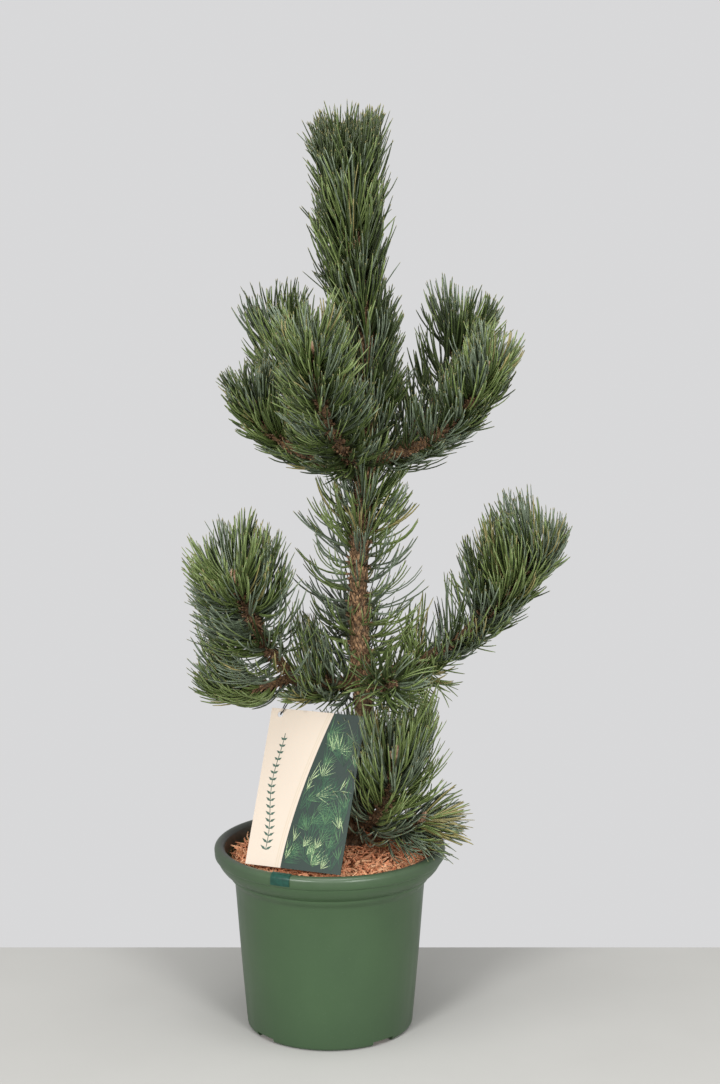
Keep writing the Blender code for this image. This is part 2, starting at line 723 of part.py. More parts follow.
def make_plant():
    make_pot()
    make_mulch()
    make_card()
    ring = tie_points()
    tube("label_tie", ring, [TIE_RADIUS] * len(ring), PLANT, TIE_DARK, cyclic=True)

    trunk_tube("trunk", PLANT, 0.0)
    trunk_space = as_cutter(trunk_tube("trunk_space", CUTTERS, GAP))
    left_space = make_left_bough(trunk_space)
    low_shoot = SHOOTS[1]
    low_space = as_cutter(limb("low_space", low_shoot.path, 0.0, 0.3, low_shoot.stem, CUTTERS, grow=GAP))
    for shoot in SHOOTS:
        if shoot.bare:
            make_bough(shoot, trunk_space)

    lines = lines_to_clear(ring)
    forks = {"left_shoot_front": (left_space, low_space), "left_shoot_low": (left_space,)}
    for number, shoot in enumerate(SHOOTS):
        make_shoot(number, shoot, forks.get(shoot.name, ()), lines)
    make_trunk_sleeve(LEADER, LEADER_NEEDLES[0], LEADER_CORE_TOP, trunk_space, lines)
    make_trunk_sleeve(STEM, *STEM_NEEDLES, trunk_space, lines)
    make_left_sleeve(left_space, lines)


make_plant()
for spare in list(CUTTERS.objects):
    bpy.data.objects.remove(spare, do_unlink=True)
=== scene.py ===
# A young black pine in a nursery pot: its needles, bark, buds, mulch, label and the finish of the pot.

import json
import math
import random

import bmesh
import bpy
import numpy as np
from mathutils import Matrix, Vector, noise

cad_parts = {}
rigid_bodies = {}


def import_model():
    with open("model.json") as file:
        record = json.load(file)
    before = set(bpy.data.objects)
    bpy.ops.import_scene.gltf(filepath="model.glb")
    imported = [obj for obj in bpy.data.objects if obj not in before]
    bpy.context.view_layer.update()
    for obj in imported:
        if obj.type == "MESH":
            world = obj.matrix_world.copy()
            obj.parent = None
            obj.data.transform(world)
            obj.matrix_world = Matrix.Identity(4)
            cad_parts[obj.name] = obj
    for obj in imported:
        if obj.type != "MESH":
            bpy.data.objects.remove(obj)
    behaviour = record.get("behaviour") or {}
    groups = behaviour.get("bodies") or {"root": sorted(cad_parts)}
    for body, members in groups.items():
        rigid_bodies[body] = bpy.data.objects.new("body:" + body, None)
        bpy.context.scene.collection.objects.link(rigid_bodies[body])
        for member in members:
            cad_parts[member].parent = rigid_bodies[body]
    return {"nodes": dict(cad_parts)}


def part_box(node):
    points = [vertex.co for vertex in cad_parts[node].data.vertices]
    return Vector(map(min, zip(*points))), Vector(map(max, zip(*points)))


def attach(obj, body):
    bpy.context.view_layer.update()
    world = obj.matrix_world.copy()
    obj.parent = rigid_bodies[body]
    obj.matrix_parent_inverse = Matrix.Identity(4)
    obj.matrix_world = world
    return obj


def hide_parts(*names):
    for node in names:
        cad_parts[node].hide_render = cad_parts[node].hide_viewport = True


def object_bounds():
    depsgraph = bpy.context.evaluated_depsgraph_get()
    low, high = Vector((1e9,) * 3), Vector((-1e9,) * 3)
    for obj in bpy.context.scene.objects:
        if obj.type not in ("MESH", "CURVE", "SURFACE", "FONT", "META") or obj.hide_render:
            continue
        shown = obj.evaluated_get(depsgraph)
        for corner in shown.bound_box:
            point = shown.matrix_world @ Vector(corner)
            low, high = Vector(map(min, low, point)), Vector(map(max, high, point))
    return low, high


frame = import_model()
solid_box = [list(corner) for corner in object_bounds()]


# The pot is injection-moulded green plastic with a broad rolled lip, a flared rim that ends in a fine
# moulding groove, a slightly tapered body and four drain notches under its foot. Its skin is satin, with
# faint flow marks and a film of potting dust. Inside the wall and on the back of the lip, a dark grey film
# stands for clinging soil and for painted shade.

POT_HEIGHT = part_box("pot")[1].z
RIM_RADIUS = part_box("pot")[1].x
LIP_WIDTH = 0.0110
LIP_DEPTH = 0.0105
LIP_ROLL = 0.0050               # height of its rounded top
LIP_EDGE = RIM_RADIUS - LIP_WIDTH - 0.0006      # radius of the opening under the lip
LIP_FOOT = 0.184                # from here up, dust and the dark film of soil and painted shade show outside
FLARE_RADIUS = 0.0990
FLARE_HEIGHT = 0.155
FLARE_PROFILE = (
    # radius and height of the rim's band, the moulding groove under it and the flare down to the body
    (0.1192, 0.1822), (0.1175, 0.1812), (0.1172, 0.1798), (0.1160, 0.1770), (0.1139, 0.1735),
    (0.1112, 0.1702), (0.1081, 0.1676), (0.1062, 0.1665), (0.1052, 0.1654), (0.1051, 0.1640),
    (0.1042, 0.1622), (0.1018, 0.1592), (0.1000, 0.1570), (0.0992, 0.1550),
)
FOOT_RADIUS = 0.0872
FOOT_ROUND = 0.0040
FOOT_TOP = 0.012                # the body's slope starts here
WALL = 0.0024
POT_SIDES = 168
NOTCH_COUNT = 4
NOTCH_BLOCK = (0.022, 0.026, 0.010)     # through the wall, along it and up, half of it below the foot
NOTCH_TURN = 40.0               # degrees from the front to the first notch
POT_GREEN = (0.043, 0.087, 0.036)
POT_DARK_GREEN = (0.033, 0.068, 0.029)
POT_DUST = (0.130, 0.165, 0.118)
# the dark film: clinging soil, and painted shade inside the wall and on the back of the lip
POT_SOIL_AND_SHADE = (0.040, 0.044, 0.036)
FILM_REACH = 0.001              # how far into the wall the inside's film of soil and painted shade is drawn


def blend(start, end, share):
    return start + (end - start) * share


class NodeTree:
    """A node tree in the making, for a finish or for Geometry Nodes."""

    def __init__(self, tree):
        self.tree = tree

    def add(self, kind, values, **settings):
        """Adds a node and returns its outputs. A value that is a socket is linked, and any other is set."""
        node = self.tree.nodes.new(kind)
        for key, value in settings.items():
            setattr(node, key, value)
        for key, value in values.items():
            socket = node.inputs[key]
            if isinstance(value, bpy.types.NodeSocket):
                self.tree.links.new(value, socket)
            else:
                socket.default_value = (*value, 1.0) if socket.type == "RGBA" else value
        return node.outputs

    def maths(self, operation, *values):
        return self.add("ShaderNodeMath", dict(enumerate(values)), operation=operation)[0]

    def vectors(self, operation, *values):
        return self.add("ShaderNodeVectorMath", dict(enumerate(values)), operation=operation)[0]

    def parts(self, vector):
        return self.add("ShaderNodeSeparateXYZ", {0: vector})

    def between(self, value, low, high, start=0.0, end=1.0):
        """Maps a value from low..high onto start..end, and holds it there."""
        values = {"Value": value, "From Min": low, "From Max": high, "To Min": start, "To Max": end}
        return self.add("ShaderNodeMapRange", values, clamp=True)["Result"]

    def mix(self, share, first, second):
        """Mixes two colours."""
        return self.add("ShaderNodeMix", {0: share, 6: first, 7: second}, data_type="RGBA")[2]


class Finish(NodeTree):
    """A material, to which a section adds what the real surface shows."""

    def __init__(self, name, colour, roughness, specular):
        self.material = bpy.data.materials.new(name)
        self.material.use_nodes = True
        super().__init__(self.material.node_tree)
        self.shader = self.tree.nodes["Principled BSDF"]
        self.shader.inputs["Base Color"].default_value = (*colour, 1.0)
        self.shader.inputs["Roughness"].default_value = roughness
        self.shader.inputs["Specular IOR Level"].default_value = specular
        self.place = self.add("ShaderNodeTexCoord", {})["Object"]

    def stretched(self, stretch):
        return self.add("ShaderNodeMapping", {"Vector": self.place, "Scale": stretch})[0]

    def grain(self, scale, detail=4.0, stretch=(1.0, 1.0, 1.0)):
        """Soft noise of this many waves a metre, pulled out along an axis where stretch is below 1."""
        values = {"Vector": self.stretched(stretch), "Scale": scale, "Detail": detail, "Roughness": 0.55}
        return self.add("ShaderNodeTexNoise", values)["Fac"]

    def set(self, slot, value):
        self.tree.links.new(value, self.shader.inputs[slot])

    def relief(self, height, strength, distance):
        values = {"Height": height, "Strength": strength, "Distance": distance}
        self.set("Normal", self.add("ShaderNodeBump", values)["Normal"])


def soil_film_and_shade(finish, depth, height):
    """Share of the dark film of soil and painted shade: most inside the wall and on the back of the lip."""
    flat = finish.stretched((1.0, 1.0, 0.0))
    from_axis = finish.add("ShaderNodeVectorMath", {0: flat}, operation="LENGTH")["Value"]
    inner = finish.between(from_axis, RIM_RADIUS - 0.75 * LIP_WIDTH, RIM_RADIUS, 0.95, 0.30)
    low, high = FLARE_RADIUS - WALL + FILM_REACH, LIP_EDGE + FILM_REACH
    edge = finish.between(height, FLARE_HEIGHT, POT_HEIGHT - LIP_DEPTH, low, high)
    within = finish.between(finish.maths("SUBTRACT", edge, from_axis), 0.0, 0.0004)
    above = finish.between(height, FLARE_HEIGHT, FLARE_HEIGHT + 0.001)
    on_wall = finish.maths("MULTIPLY", within, above)
    reached = finish.maths("MAXIMUM", finish.between(height, LIP_FOOT, LIP_FOOT + 0.005), on_wall)
    # the film is weaker at the front; at the back it is soil and painted shade together
    toward_back = finish.between(depth, -0.115, -0.04, 0.45, 1.0)
    return finish.maths("MULTIPLY", finish.maths("MULTIPLY", inner, reached), toward_back)


def pot_finish():
    finish = Finish("green_moulded_plastic", POT_GREEN, 0.44, 0.5)
    _, depth, height = finish.parts(finish.place)
    flow = finish.grain(55.0, stretch=(1.0, 1.0, 0.12))
    tone = finish.mix(finish.between(finish.grain(16.0), 0.35, 0.75, 0.0, 0.6), POT_GREEN, POT_DARK_GREEN)
    tone = finish.mix(finish.between(height, 0.0, 0.05, 0.75, 0.0), tone, POT_DARK_GREEN)
    near_lip = finish.between(height, LIP_FOOT, POT_HEIGHT, 0.0, 0.22)
    dust = finish.maths("MULTIPLY", near_lip, finish.between(flow, 0.3, 0.7, 0.4, 1.0))
    tone = finish.mix(dust, tone, POT_DUST)
    specks = finish.grain(900.0, detail=1.0)
    tone = finish.mix(finish.between(specks, 0.68, 0.78, 0.0, 0.35), tone, POT_DUST)
    # mixes in the dark film of soil and painted shade
    finish.set("Base Color", finish.mix(soil_film_and_shade(finish, depth, height), tone, POT_SOIL_AND_SHADE))
    finish.set("Roughness", finish.between(flow, 0.25, 0.75, 0.30, 0.46))
    finish.relief(finish.grain(700.0, detail=3.0), 0.12, 0.0004)
    return finish


def arc(centre, radius, start, end, steps):
    """Points of an arc in the half profile, between two angles in degrees from the outward way."""
    points = []
    for k in range(steps + 1):
        angle = math.radians(blend(start, end, k / steps))
        points.append((centre[0] + radius[0] * math.cos(angle), centre[1] + radius[1] * math.sin(angle)))
    return points


def pot_profile():
    """The half profile, from the middle of the floor inside, up, over the lip and down to the foot."""
    inner = FLARE_RADIUS - WALL
    roll = LIP_WIDTH / 2
    inside = [
        (0.0, WALL),
        (FOOT_RADIUS - FOOT_ROUND - WALL, WALL),
        (FOOT_RADIUS - WALL, FOOT_TOP),
        (inner, FLARE_HEIGHT),
        (blend(inner, RIM_RADIUS - LIP_WIDTH, 0.8), blend(FLARE_HEIGHT, POT_HEIGHT, 0.5)),
        (LIP_EDGE, POT_HEIGHT - LIP_DEPTH),
    ]
    lip = arc((RIM_RADIUS - roll, POT_HEIGHT - LIP_ROLL), (roll, LIP_ROLL), 165, 0, 14)
    band = [(RIM_RADIUS - 0.0002, POT_HEIGHT - 0.0085), (RIM_RADIUS - 0.0005, POT_HEIGHT - 0.0115)]
    body = []
    for k in range(1, 9):
        swell = 0.0004 * math.sin(math.pi * k / 8)
        radius = blend(FLARE_RADIUS, FOOT_RADIUS + 0.0008, k / 8) + swell
        body.append((radius, blend(FLARE_HEIGHT, FOOT_TOP, k / 8)))
    foot = arc((FOOT_RADIUS - FOOT_ROUND, FOOT_ROUND), (FOOT_ROUND, FOOT_ROUND), 0, -90, 6)
    return [*inside, *lip, *band, *FLARE_PROFILE, *body, *foot, (0.0, 0.0)]


def frozen(item):
    """A plain mesh of the item, with its modifiers."""
    return bpy.data.meshes.new_from_object(item.evaluated_get(bpy.context.evaluated_depsgraph_get()))


def bake_modifiers(item):
    mesh = frozen(item)
    item.modifiers.clear()
    item.data = mesh


def cut(item, tool):
    """Cuts the tool's shape out of the item."""
    cutting = item.modifiers.new("cut", "BOOLEAN")
    cutting.operation = "DIFFERENCE"
    cutting.object = tool
    bake_modifiers(item)
    bpy.data.objects.remove(tool, do_unlink=True)


def add_item(name, data):
    item = bpy.data.objects.new(name, data)
    bpy.context.scene.collection.objects.link(item)
    return item


def paint(mesh, *finishes):
    mesh.materials.clear()
    for finish in finishes:
        mesh.materials.append(finish.material)


def new_piece(name, mesh, *finishes):
    mesh.name = name
    paint(mesh, *finishes)
    return add_item(name, mesh)


def fit(piece, slot, *solids):
    """Puts a finished piece on the part, in place of these solids. The slot, what it is made of, is not used.
    """
    if solids:
        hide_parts(*solids)
    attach(piece, "root")


def make_pot():
    profile = pot_profile()
    edges = [(k, k + 1) for k in range(len(profile) - 1)]
    mesh = bpy.data.meshes.new("pot_skin")
    mesh.from_pydata([(radius, 0.0, height) for radius, height in profile], edges, [])
    pot = new_piece("pot_skin", mesh)
    screw = pot.modifiers.new("turn", "SCREW")
    screw.steps = screw.render_steps = POT_SIDES
    screw.use_merge_vertices = True
    screw.merge_threshold = 0.00001
    bake_modifiers(pot)
    for number in range(NOTCH_COUNT):
        turn = math.radians(NOTCH_TURN + 360 / NOTCH_COUNT * number - 90)
        bpy.ops.mesh.primitive_cube_add(size=1.0)
        notch = bpy.context.object
        place = Matrix.Rotation(turn, 4, "Z") @ Matrix.Translation((FOOT_RADIUS, 0.0, 0.0))
        notch.data.transform(place @ Matrix.Diagonal((*NOTCH_BLOCK, 1.0)))
        cut(pot, notch)
    pot.data.shade_smooth()
    pot.data.set_sharp_from_angle(angle=math.radians(38))
    paint(pot.data, pot_finish())
    return pot


fit(make_pot(), "green_plastic", "pot")


# The pot is filled with dark potting soil, under a loose layer of shredded bark: flat reddish slivers
# and torn fibres from 5 to 30 mm long that lie across each other every way.

SOIL_EDGE_HEIGHT = 0.174
SOIL_MOUND = 0.006
SOIL_ROUGHNESS = 0.0022         # height of the soil's lumps
SOIL_GAP = 0.0003               # between the soil and the pot's wall
DIP_PLACE = (0.078, -0.066)     # a hollow in the mulch
DIP_DEPTH = 0.004
DIP_SPREAD = 0.00022            # square of the distance over which it fades
SOIL_SIDES = 96
SOIL_RINGS = 26                 # from the middle to the wall
SHREDS = (
    # name, colour, lighter colour, pieces a square metre, smallest and largest size, seed
    ("orange", (0.760, 0.372, 0.185), (0.850, 0.525, 0.325), 46000, (0.60, 1.25), 3),
    ("red", (0.680, 0.268, 0.132), (0.800, 0.400, 0.226), 54000, (0.65, 1.35), 5),
    ("dark", (0.390, 0.150, 0.072), (0.540, 0.248, 0.112), 20000, (0.50, 1.05), 8),
)
SHRED_SHAPES = 9
SHRED_LENGTH = 0.017
SHRED_WIDTH = 0.0027
SHRED_CORNERS = ((-0.5, -0.5), (0.5, -0.4), (0.5, 0.4), (-0.5, 0.5))
BED_MARGIN = 0.0065             # from the shreds' middles to the wall
BED_LIFT = 0.0012               # of the lowest shreds' middles above the soil
BED_DEPTH = 0.0070
SHRED_TILT = 0.62


def wall_radius(height):
    """The pot's inner radius at a height."""
    heights = (FOOT_TOP, FLARE_HEIGHT, POT_HEIGHT - LIP_DEPTH)
    return float(np.interp(height, heights, (FOOT_RADIUS - WALL, FLARE_RADIUS - WALL, LIP_EDGE)))


def soil_height(x, y):
    far = math.hypot(x, y) / wall_radius(SOIL_EDGE_HEIGHT)
    lumps = noise.noise(Vector((x, y, 0.0)) * 60) + 0.5 * noise.noise(Vector((x, y, 0.3)) * 150)
    dip = DIP_DEPTH * math.exp(-((x - DIP_PLACE[0]) ** 2 + (y - DIP_PLACE[1]) ** 2) / DIP_SPREAD)
    return SOIL_EDGE_HEIGHT + SOIL_MOUND * (1 - far**2) + SOIL_ROUGHNESS * lumps * (1 - far**6) - dip


class Skin:
    """Points and faces of closed tubes, each through rings of equally many points."""

    def __init__(self):
        self.points = []
        self.faces = []

    def add(self, rings):
        sides = len(rings[0])
        start = len(self.points)
        for ring in rings:
            self.points.extend(ring)
        for row in range(start, len(self.points) - sides, sides):
            for k in range(sides):
                low = row + k
                after = row + (k + 1) % sides
                self.faces.append((low, after, after + sides, low + sides))
        self.faces.append(tuple(range(start + sides - 1, start - 1, -1)))
        self.faces.append(tuple(range(len(self.points) - sides, len(self.points))))

    def mesh(self, name, smooth=False):
        mesh = bpy.data.meshes.new(name)
        mesh.from_pydata(self.points, [], self.faces)
        if smooth:
            mesh.shade_smooth()
        return mesh


def mottled(name, dark, light, roughness, specular, scale, contrast, stretch=(1.0, 1.0, 1.0)):
    """A finish in two tones that change from patch to patch, with this many patches a metre."""
    finish = Finish(name, dark, roughness, specular)
    finish.patches = finish.grain(scale, stretch=stretch)
    finish.tone = finish.mix(finish.between(finish.patches, 0.5 - contrast, 0.5 + contrast), dark, light)
    finish.set("Base Color", finish.tone)
    return finish


def make_soil():
    finish = mottled("potting_soil", (0.300, 0.120, 0.054), (0.520, 0.225, 0.108), 0.95, 0.2, 420.0, 0.15)
    finish.relief(finish.patches, 0.9, 0.0015)
    stations = [(FOOT_RADIUS - FOOT_ROUND - WALL - SOIL_GAP, WALL + SOIL_GAP)]
    stations += [(wall_radius(height) - SOIL_GAP, height) for height in (FOOT_TOP, FLARE_HEIGHT)]
    top_radius = wall_radius(SOIL_EDGE_HEIGHT) - SOIL_GAP
    stations += [(top_radius * k / SOIL_RINGS, None) for k in range(SOIL_RINGS, 0, -1)]
    rings = []
    for radius, height in stations:
        ring = []
        for k in range(SOIL_SIDES):
            angle = 2 * math.pi * k / SOIL_SIDES
            x, y = radius * math.cos(angle), radius * math.sin(angle)
            ring.append((x, y, soil_height(x, y) if height is None else height))
        rings.append(ring)
    skin = Skin()
    skin.add(rings)
    inmost = skin.faces.pop()
    middle = len(skin.points)
    skin.points.append((0.0, 0.0, soil_height(0.0, 0.0)))
    for k in range(SOIL_SIDES):
        skin.faces.append((middle, inmost[k], inmost[(k + 1) % SOIL_SIDES]))
    return new_piece("potting_soil", skin.mesh("potting_soil", smooth=True), finish)


def shred_shape(name, seed, fibre):
    """One sliver of bark: a flat, bent and twisted strip with ragged ends, lying along X."""
    dice = random.Random(seed)
    length = SHRED_LENGTH * dice.uniform(0.8, 1.3)
    width = SHRED_WIDTH * (0.35 if fibre else dice.uniform(0.8, 1.3))
    thickness = width * (0.5 if fibre else 0.28)
    bow, twist = dice.uniform(-0.0050, 0.0050), dice.uniform(-1.2, 1.2)
    rings = []
    for k in range(5):
        share = k / 4
        taper = (0.45, 1.0, dice.uniform(0.8, 1.1), dice.uniform(0.7, 1.0), 0.25)[k]
        rise = bow * math.sin(math.pi * share)
        ring = []
        for across, through in SHRED_CORNERS:
            offset = Vector((dice.uniform(-0.0006, 0.0006), across * width * taper, through * thickness))
            offset.rotate(Matrix.Rotation(twist * (share - 0.5), 3, "X"))
            ring.append(Vector(((share - 0.5) * length, 2 * rise, rise)) + offset)
        rings.append(ring)
    skin = Skin()
    skin.add(rings)
    return bpy.data.objects.new(name, skin.mesh(name))


class Growth(NodeTree):
    """A Geometry Nodes tree with named inputs."""

    def __init__(self, name, **inputs):
        super().__init__(bpy.data.node_groups.new(name, "GeometryNodeTree"))
        sockets = self.tree.interface
        for key, kind in {"Geometry": "Geometry", **inputs, "Finish": "Material"}.items():
            sockets.new_socket(key, in_out="INPUT", socket_type="NodeSocket" + kind)
        sockets.new_socket("Geometry", in_out="OUTPUT", socket_type="NodeSocketGeometry")
        self.given = self.add("NodeGroupInput", {})

    def join(self, x, y, z):
        return self.add("ShaderNodeCombineXYZ", {"X": x, "Y": y, "Z": z})[0]

    def random(self, low, high):
        values = {2: low, 3: high, "Seed": self.given["Seed"]}
        return self.add("FunctionNodeRandomValue", values, data_type="FLOAT")[1]

    def end(self, geometry, smooth=False):
        """Makes the copies real, shades them and sets their finish: the last steps of every tree here."""
        real = self.add("GeometryNodeRealizeInstances", {"Geometry": geometry})[0]
        shaded = self.add("GeometryNodeSetShadeSmooth", {"Geometry": real, "Shade Smooth": smooth})[0]
        values = {"Geometry": shaded, "Material": self.given["Finish"]}
        painted = self.add("GeometryNodeSetMaterial", values)[0]
        self.add("NodeGroupOutput", {"Geometry": painted})

    def grow(self, name, start, finish, values):
        """Runs the tree on a starting mesh or curve, and makes a piece of the result."""
        guide = add_item(name + "_guide", start)
        modifier = guide.modifiers.new(self.tree.name, "NODES")
        modifier.node_group = self.tree
        for socket in self.tree.interface.items_tree:
            if socket.in_out == "INPUT" and socket.name in values:
                modifier[socket.identifier] = values[socket.name]
            elif socket.in_out == "INPUT" and socket.name == "Finish":
                modifier[socket.identifier] = finish.material
        mesh = frozen(guide)
        bpy.data.objects.remove(guide, do_unlink=True)
        return new_piece(name, mesh, finish)


def scatter_tree():
    """Lays picked shapes over a surface, each turned any way and tilted a little."""
    tree = Growth("scatter_shreds", Density="Float", Seed="Int", Smallest="Float", Largest="Float",
                  Tilt="Float", Lift="Float", Shapes="Collection")
    given = tree.given
    points = tree.add("GeometryNodeDistributePointsOnFaces", {
        "Mesh": given["Geometry"], "Density": given["Density"], "Seed": given["Seed"],
    }, distribute_method="RANDOM")["Points"]
    shapes = tree.add("GeometryNodeCollectionInfo", {
        "Collection": given["Shapes"], "Separate Children": True, "Reset Children": True,
    }, transform_space="ORIGINAL")[0]
    down_tilt = tree.maths("MULTIPLY", given["Tilt"], -1.0)
    low = tree.join(down_tilt, down_tilt, 0.0)
    high = tree.join(given["Tilt"], given["Tilt"], 2 * math.pi)
    values = {0: low, 1: high, "Seed": given["Seed"]}
    turn = tree.add("FunctionNodeRandomValue", values, data_type="FLOAT_VECTOR")[0]
    up = tree.join(0.0, 0.0, tree.random(0.0, given["Lift"]))
    raised = tree.add("GeometryNodeSetPosition", {"Geometry": points, "Offset": up})[0]
    tree.end(tree.add("GeometryNodeInstanceOnPoints", {
        "Points": raised, "Instance": shapes, "Pick Instance": True, "Rotation": turn,
        "Scale": tree.random(given["Smallest"], given["Largest"]),
    })[0])
    return tree


def shred_finish(name, dark, light):
    finish = mottled(name, dark, light, 0.88, 0.25, 130.0, 0.18)
    fibres = finish.grain(1400.0, detail=2.0)
    shade = tuple(0.45 * part for part in dark)
    finish.set("Base Color", finish.mix(finish.between(fibres, 0.45, 0.75, 0.0, 0.25), finish.tone, shade))
    finish.relief(fibres, 0.6, 0.0004)
    return finish


def mulch_bed():
    """The surface that the shreds lie on: the soil's top, a little inside the wall."""
    mesh = bpy.data.meshes.new("mulch_bed")
    work = bmesh.new()
    radius = wall_radius(SOIL_EDGE_HEIGHT) - BED_MARGIN
    bmesh.ops.create_circle(work, cap_ends=True, cap_tris=True, segments=48, radius=radius)
    bmesh.ops.subdivide_edges(work, edges=work.edges, cuts=5, use_grid_fill=True)
    for vert in work.verts:
        vert.co.z = soil_height(vert.co.x, vert.co.y) + BED_LIFT
    work.to_mesh(mesh)
    work.free()
    return mesh


fit(make_soil(), "bark_mulch", "potting_mulch")
shred_shapes = bpy.data.collections.new("shred_shapes")
for number in range(SHRED_SHAPES):
    shred_shapes.objects.link(shred_shape(f"shred_{number}", 20 + number, fibre=number % 2 == 1))
lay_shreds = scatter_tree()
for kind, dark, light, density, (smallest, largest), seed in SHREDS:
    finish = shred_finish(f"mulch_bark_{kind}", dark, light)
    fit(lay_shreds.grow(f"mulch_shreds_{kind}", mulch_bed(), finish, {
        "Density": density, "Seed": seed, "Smallest": smallest, "Largest": largest, "Tilt": SHRED_TILT,
        "Lift": BED_DEPTH, "Shapes": shred_shapes,
    }), "bark_mulch")
for shape in list(shred_shapes.objects):
    bpy.data.objects.remove(shape, do_unlink=True)


# The trunk leans and tapers from a flared foot to the tip of the leader. Its young bark is brown and
# rough: cracked plates low down, and rows of raised scales, the bases of old needles, higher up.

UP = np.array((0.0, 0.0, 1.0))
TURN_START = np.array((0.13, 0.91, 0.37))       # a turn round a limb starts square to this way
TRUNK_STATIONS = (
    # height, sideways place, place in depth, radius
    (0.1803, 0.018, 0.006, 0.0170),
    (0.189, 0.019, 0.006, 0.0138),
    (0.205, 0.022, 0.005, 0.0118),
    (0.260, 0.030, 0.002, 0.0104),
    (0.330, 0.036, 0.000, 0.0094),
    (0.370, 0.033, 0.000, 0.0095),
    (0.478, 0.030, 0.000, 0.0082),
    (0.590, 0.036, 0.000, 0.0084),
    (0.715, 0.036, 0.000, 0.0077),
    (0.765, 0.029, 0.000, 0.0070),
    (0.818, 0.0235, 0.000, 0.0064),
    (0.862, 0.0215, 0.000, 0.0052),
    (0.872, 0.0212, 0.000, 0.0012),
)
TRUNK_HEIGHTS = [station[0] for station in TRUNK_STATIONS]
UPPER_WHORL = 0.592
LOWER_WHORL = 0.368
TRUNK_SIDES = 40
RING_STEP = 0.0014              # from one ring of the bark's mesh to the next
PLATE_RELIEF = 0.0011           # how far the bark's plates stand out
PLATES_A_METRE = 190
PLATE_STRETCH = 0.45            # below 1, plates are longer along the trunk than round it
END_RINGS = 4                   # at each end, on which the plates fade out
BARK_DARK = (0.035, 0.021, 0.013)
BARK_BROWN = (0.095, 0.058, 0.032)
BARK_ORANGE = (0.190, 0.112, 0.058)
BARK_GREY = (0.170, 0.140, 0.100)


def unit(vector):
    return vector / np.linalg.norm(vector, axis=-1, keepdims=True)


def trunk_point(height):
    """The trunk's centre at a height, on a smooth curve through its stations."""
    last = len(TRUNK_STATIONS) - 1
    index = min(max(int(np.searchsorted(TRUNK_HEIGHTS, height, side="right")) - 1, 0), last - 1)
    low, high = TRUNK_STATIONS[index : index + 2]
    before = TRUNK_STATIONS[max(index - 1, 0)]
    after = TRUNK_STATIONS[min(index + 2, last)]
    span = high[0] - low[0]
    share = (height - low[0]) / span
    place = []
    for side in (1, 2):
        slope_low = (high[side] - before[side]) / (high[0] - before[0]) * span
        slope_high = (after[side] - low[side]) / (after[0] - low[0]) * span
        place.append(
            (2 * share**3 - 3 * share**2 + 1) * low[side]
            + (share**3 - 2 * share**2 + share) * slope_low
            + (3 * share**2 - 2 * share**3) * high[side]
            + (share**3 - share**2) * slope_high
        )
    return np.array((*place, height))


def trunk_radius(height):
    return float(np.interp(height, TRUNK_HEIGHTS, [station[3] for station in TRUNK_STATIONS]))


def bark_finish():
    finish = mottled("scaly_bark", BARK_BROWN, BARK_ORANGE, 0.92, 0.2, 95.0, 0.12, stretch=(1.0, 1.0, 0.45))
    flakes = finish.grain(420.0, stretch=(1.0, 1.0, 0.35))
    tone = finish.mix(finish.between(flakes, 0.50, 0.66, 0.0, 0.6), finish.tone, BARK_GREY)
    values = {"Vector": finish.stretched((1.0, 1.0, 0.5)), "Scale": 330.0}
    cracks = finish.add("ShaderNodeTexVoronoi", values, feature="DISTANCE_TO_EDGE")["Distance"]
    finish.set("Base Color", finish.mix(finish.between(cracks, 0.0, 0.16, 0.9, 0.0), tone, BARK_DARK))
    finish.relief(flakes, 0.8, 0.0008)
    return finish


def plates(point):
    """Height of the bark's relief at a point, from -1 in a crack to 1 on a plate."""
    cells = noise.voronoi(Vector((point[0], point[1], point[2] * PLATE_STRETCH)) * PLATES_A_METRE)[0]
    ridge = min((cells[1] - cells[0]) * 3.2, 1.0)
    return ridge * 1.4 - 0.7 + 0.45 * noise.noise(Vector(point) * 420)


def bark_rings(points, radii, sides, relief):
    """The rings of a rough-skinned tube along these points."""
    points = np.array(points)
    ways = unit(np.gradient(points, axis=0))
    side = unit(np.cross(ways[0], TURN_START))
    rings = []
    for number, (centre, way, radius) in enumerate(zip(points, ways, radii)):
        side = unit(side - way * np.dot(side, way))
        other = np.cross(way, side)
        fade = min(number, len(points) - 1 - number, END_RINGS) / END_RINGS
        ring = []
        for k in range(sides):
            angle = 2 * math.pi * k / sides
            out = math.cos(angle) * side + math.sin(angle) * other
            skin = centre + out * radius
            ring.append(skin + out * (plates(skin) * relief * (0.35 + 0.65 * fade)))
        rings.append(ring)
    return rings


def bark_piece(name, limbs, finish):
    """One piece of bark from limbs, each given as points, radii, sides and relief."""
    skin = Skin()
    for limb in limbs:
        skin.add(bark_rings(*limb))
    return new_piece(name, skin.mesh(name, smooth=True), finish)


bark = bark_finish()
heights = np.arange(TRUNK_HEIGHTS[0], TRUNK_HEIGHTS[-1], RING_STEP)
trunk_line = [trunk_point(height) for height in heights]
trunk_radii = [trunk_radius(height) for height in heights]
trunk_limb = (trunk_line, trunk_radii, TRUNK_SIDES, PLATE_RELIEF)
fit(bark_piece("trunk_bark", [trunk_limb], bark), "scaly_bark", "trunk")


# Two whorls of boughs leave the trunk, and two shoots leave it at the foot. Each bough is bare at first
# and then becomes a shoot that curves up to its bud. The left bough forks into two shoots.

FORK_SHARE = 0.88               # where the upswept shoot leaves the left bough
LEFT_RADII = (0.0056, 0.0046)
BOUGH_SWELL = 1.12              # a bough's foot as a multiple of its shoot's radius
LEFT_BARK = (26, 0.0007)        # sides and relief of the bark's mesh
BOUGH_BARK = (24, 0.0006)
STEM_BARK = (16, 0.0003)


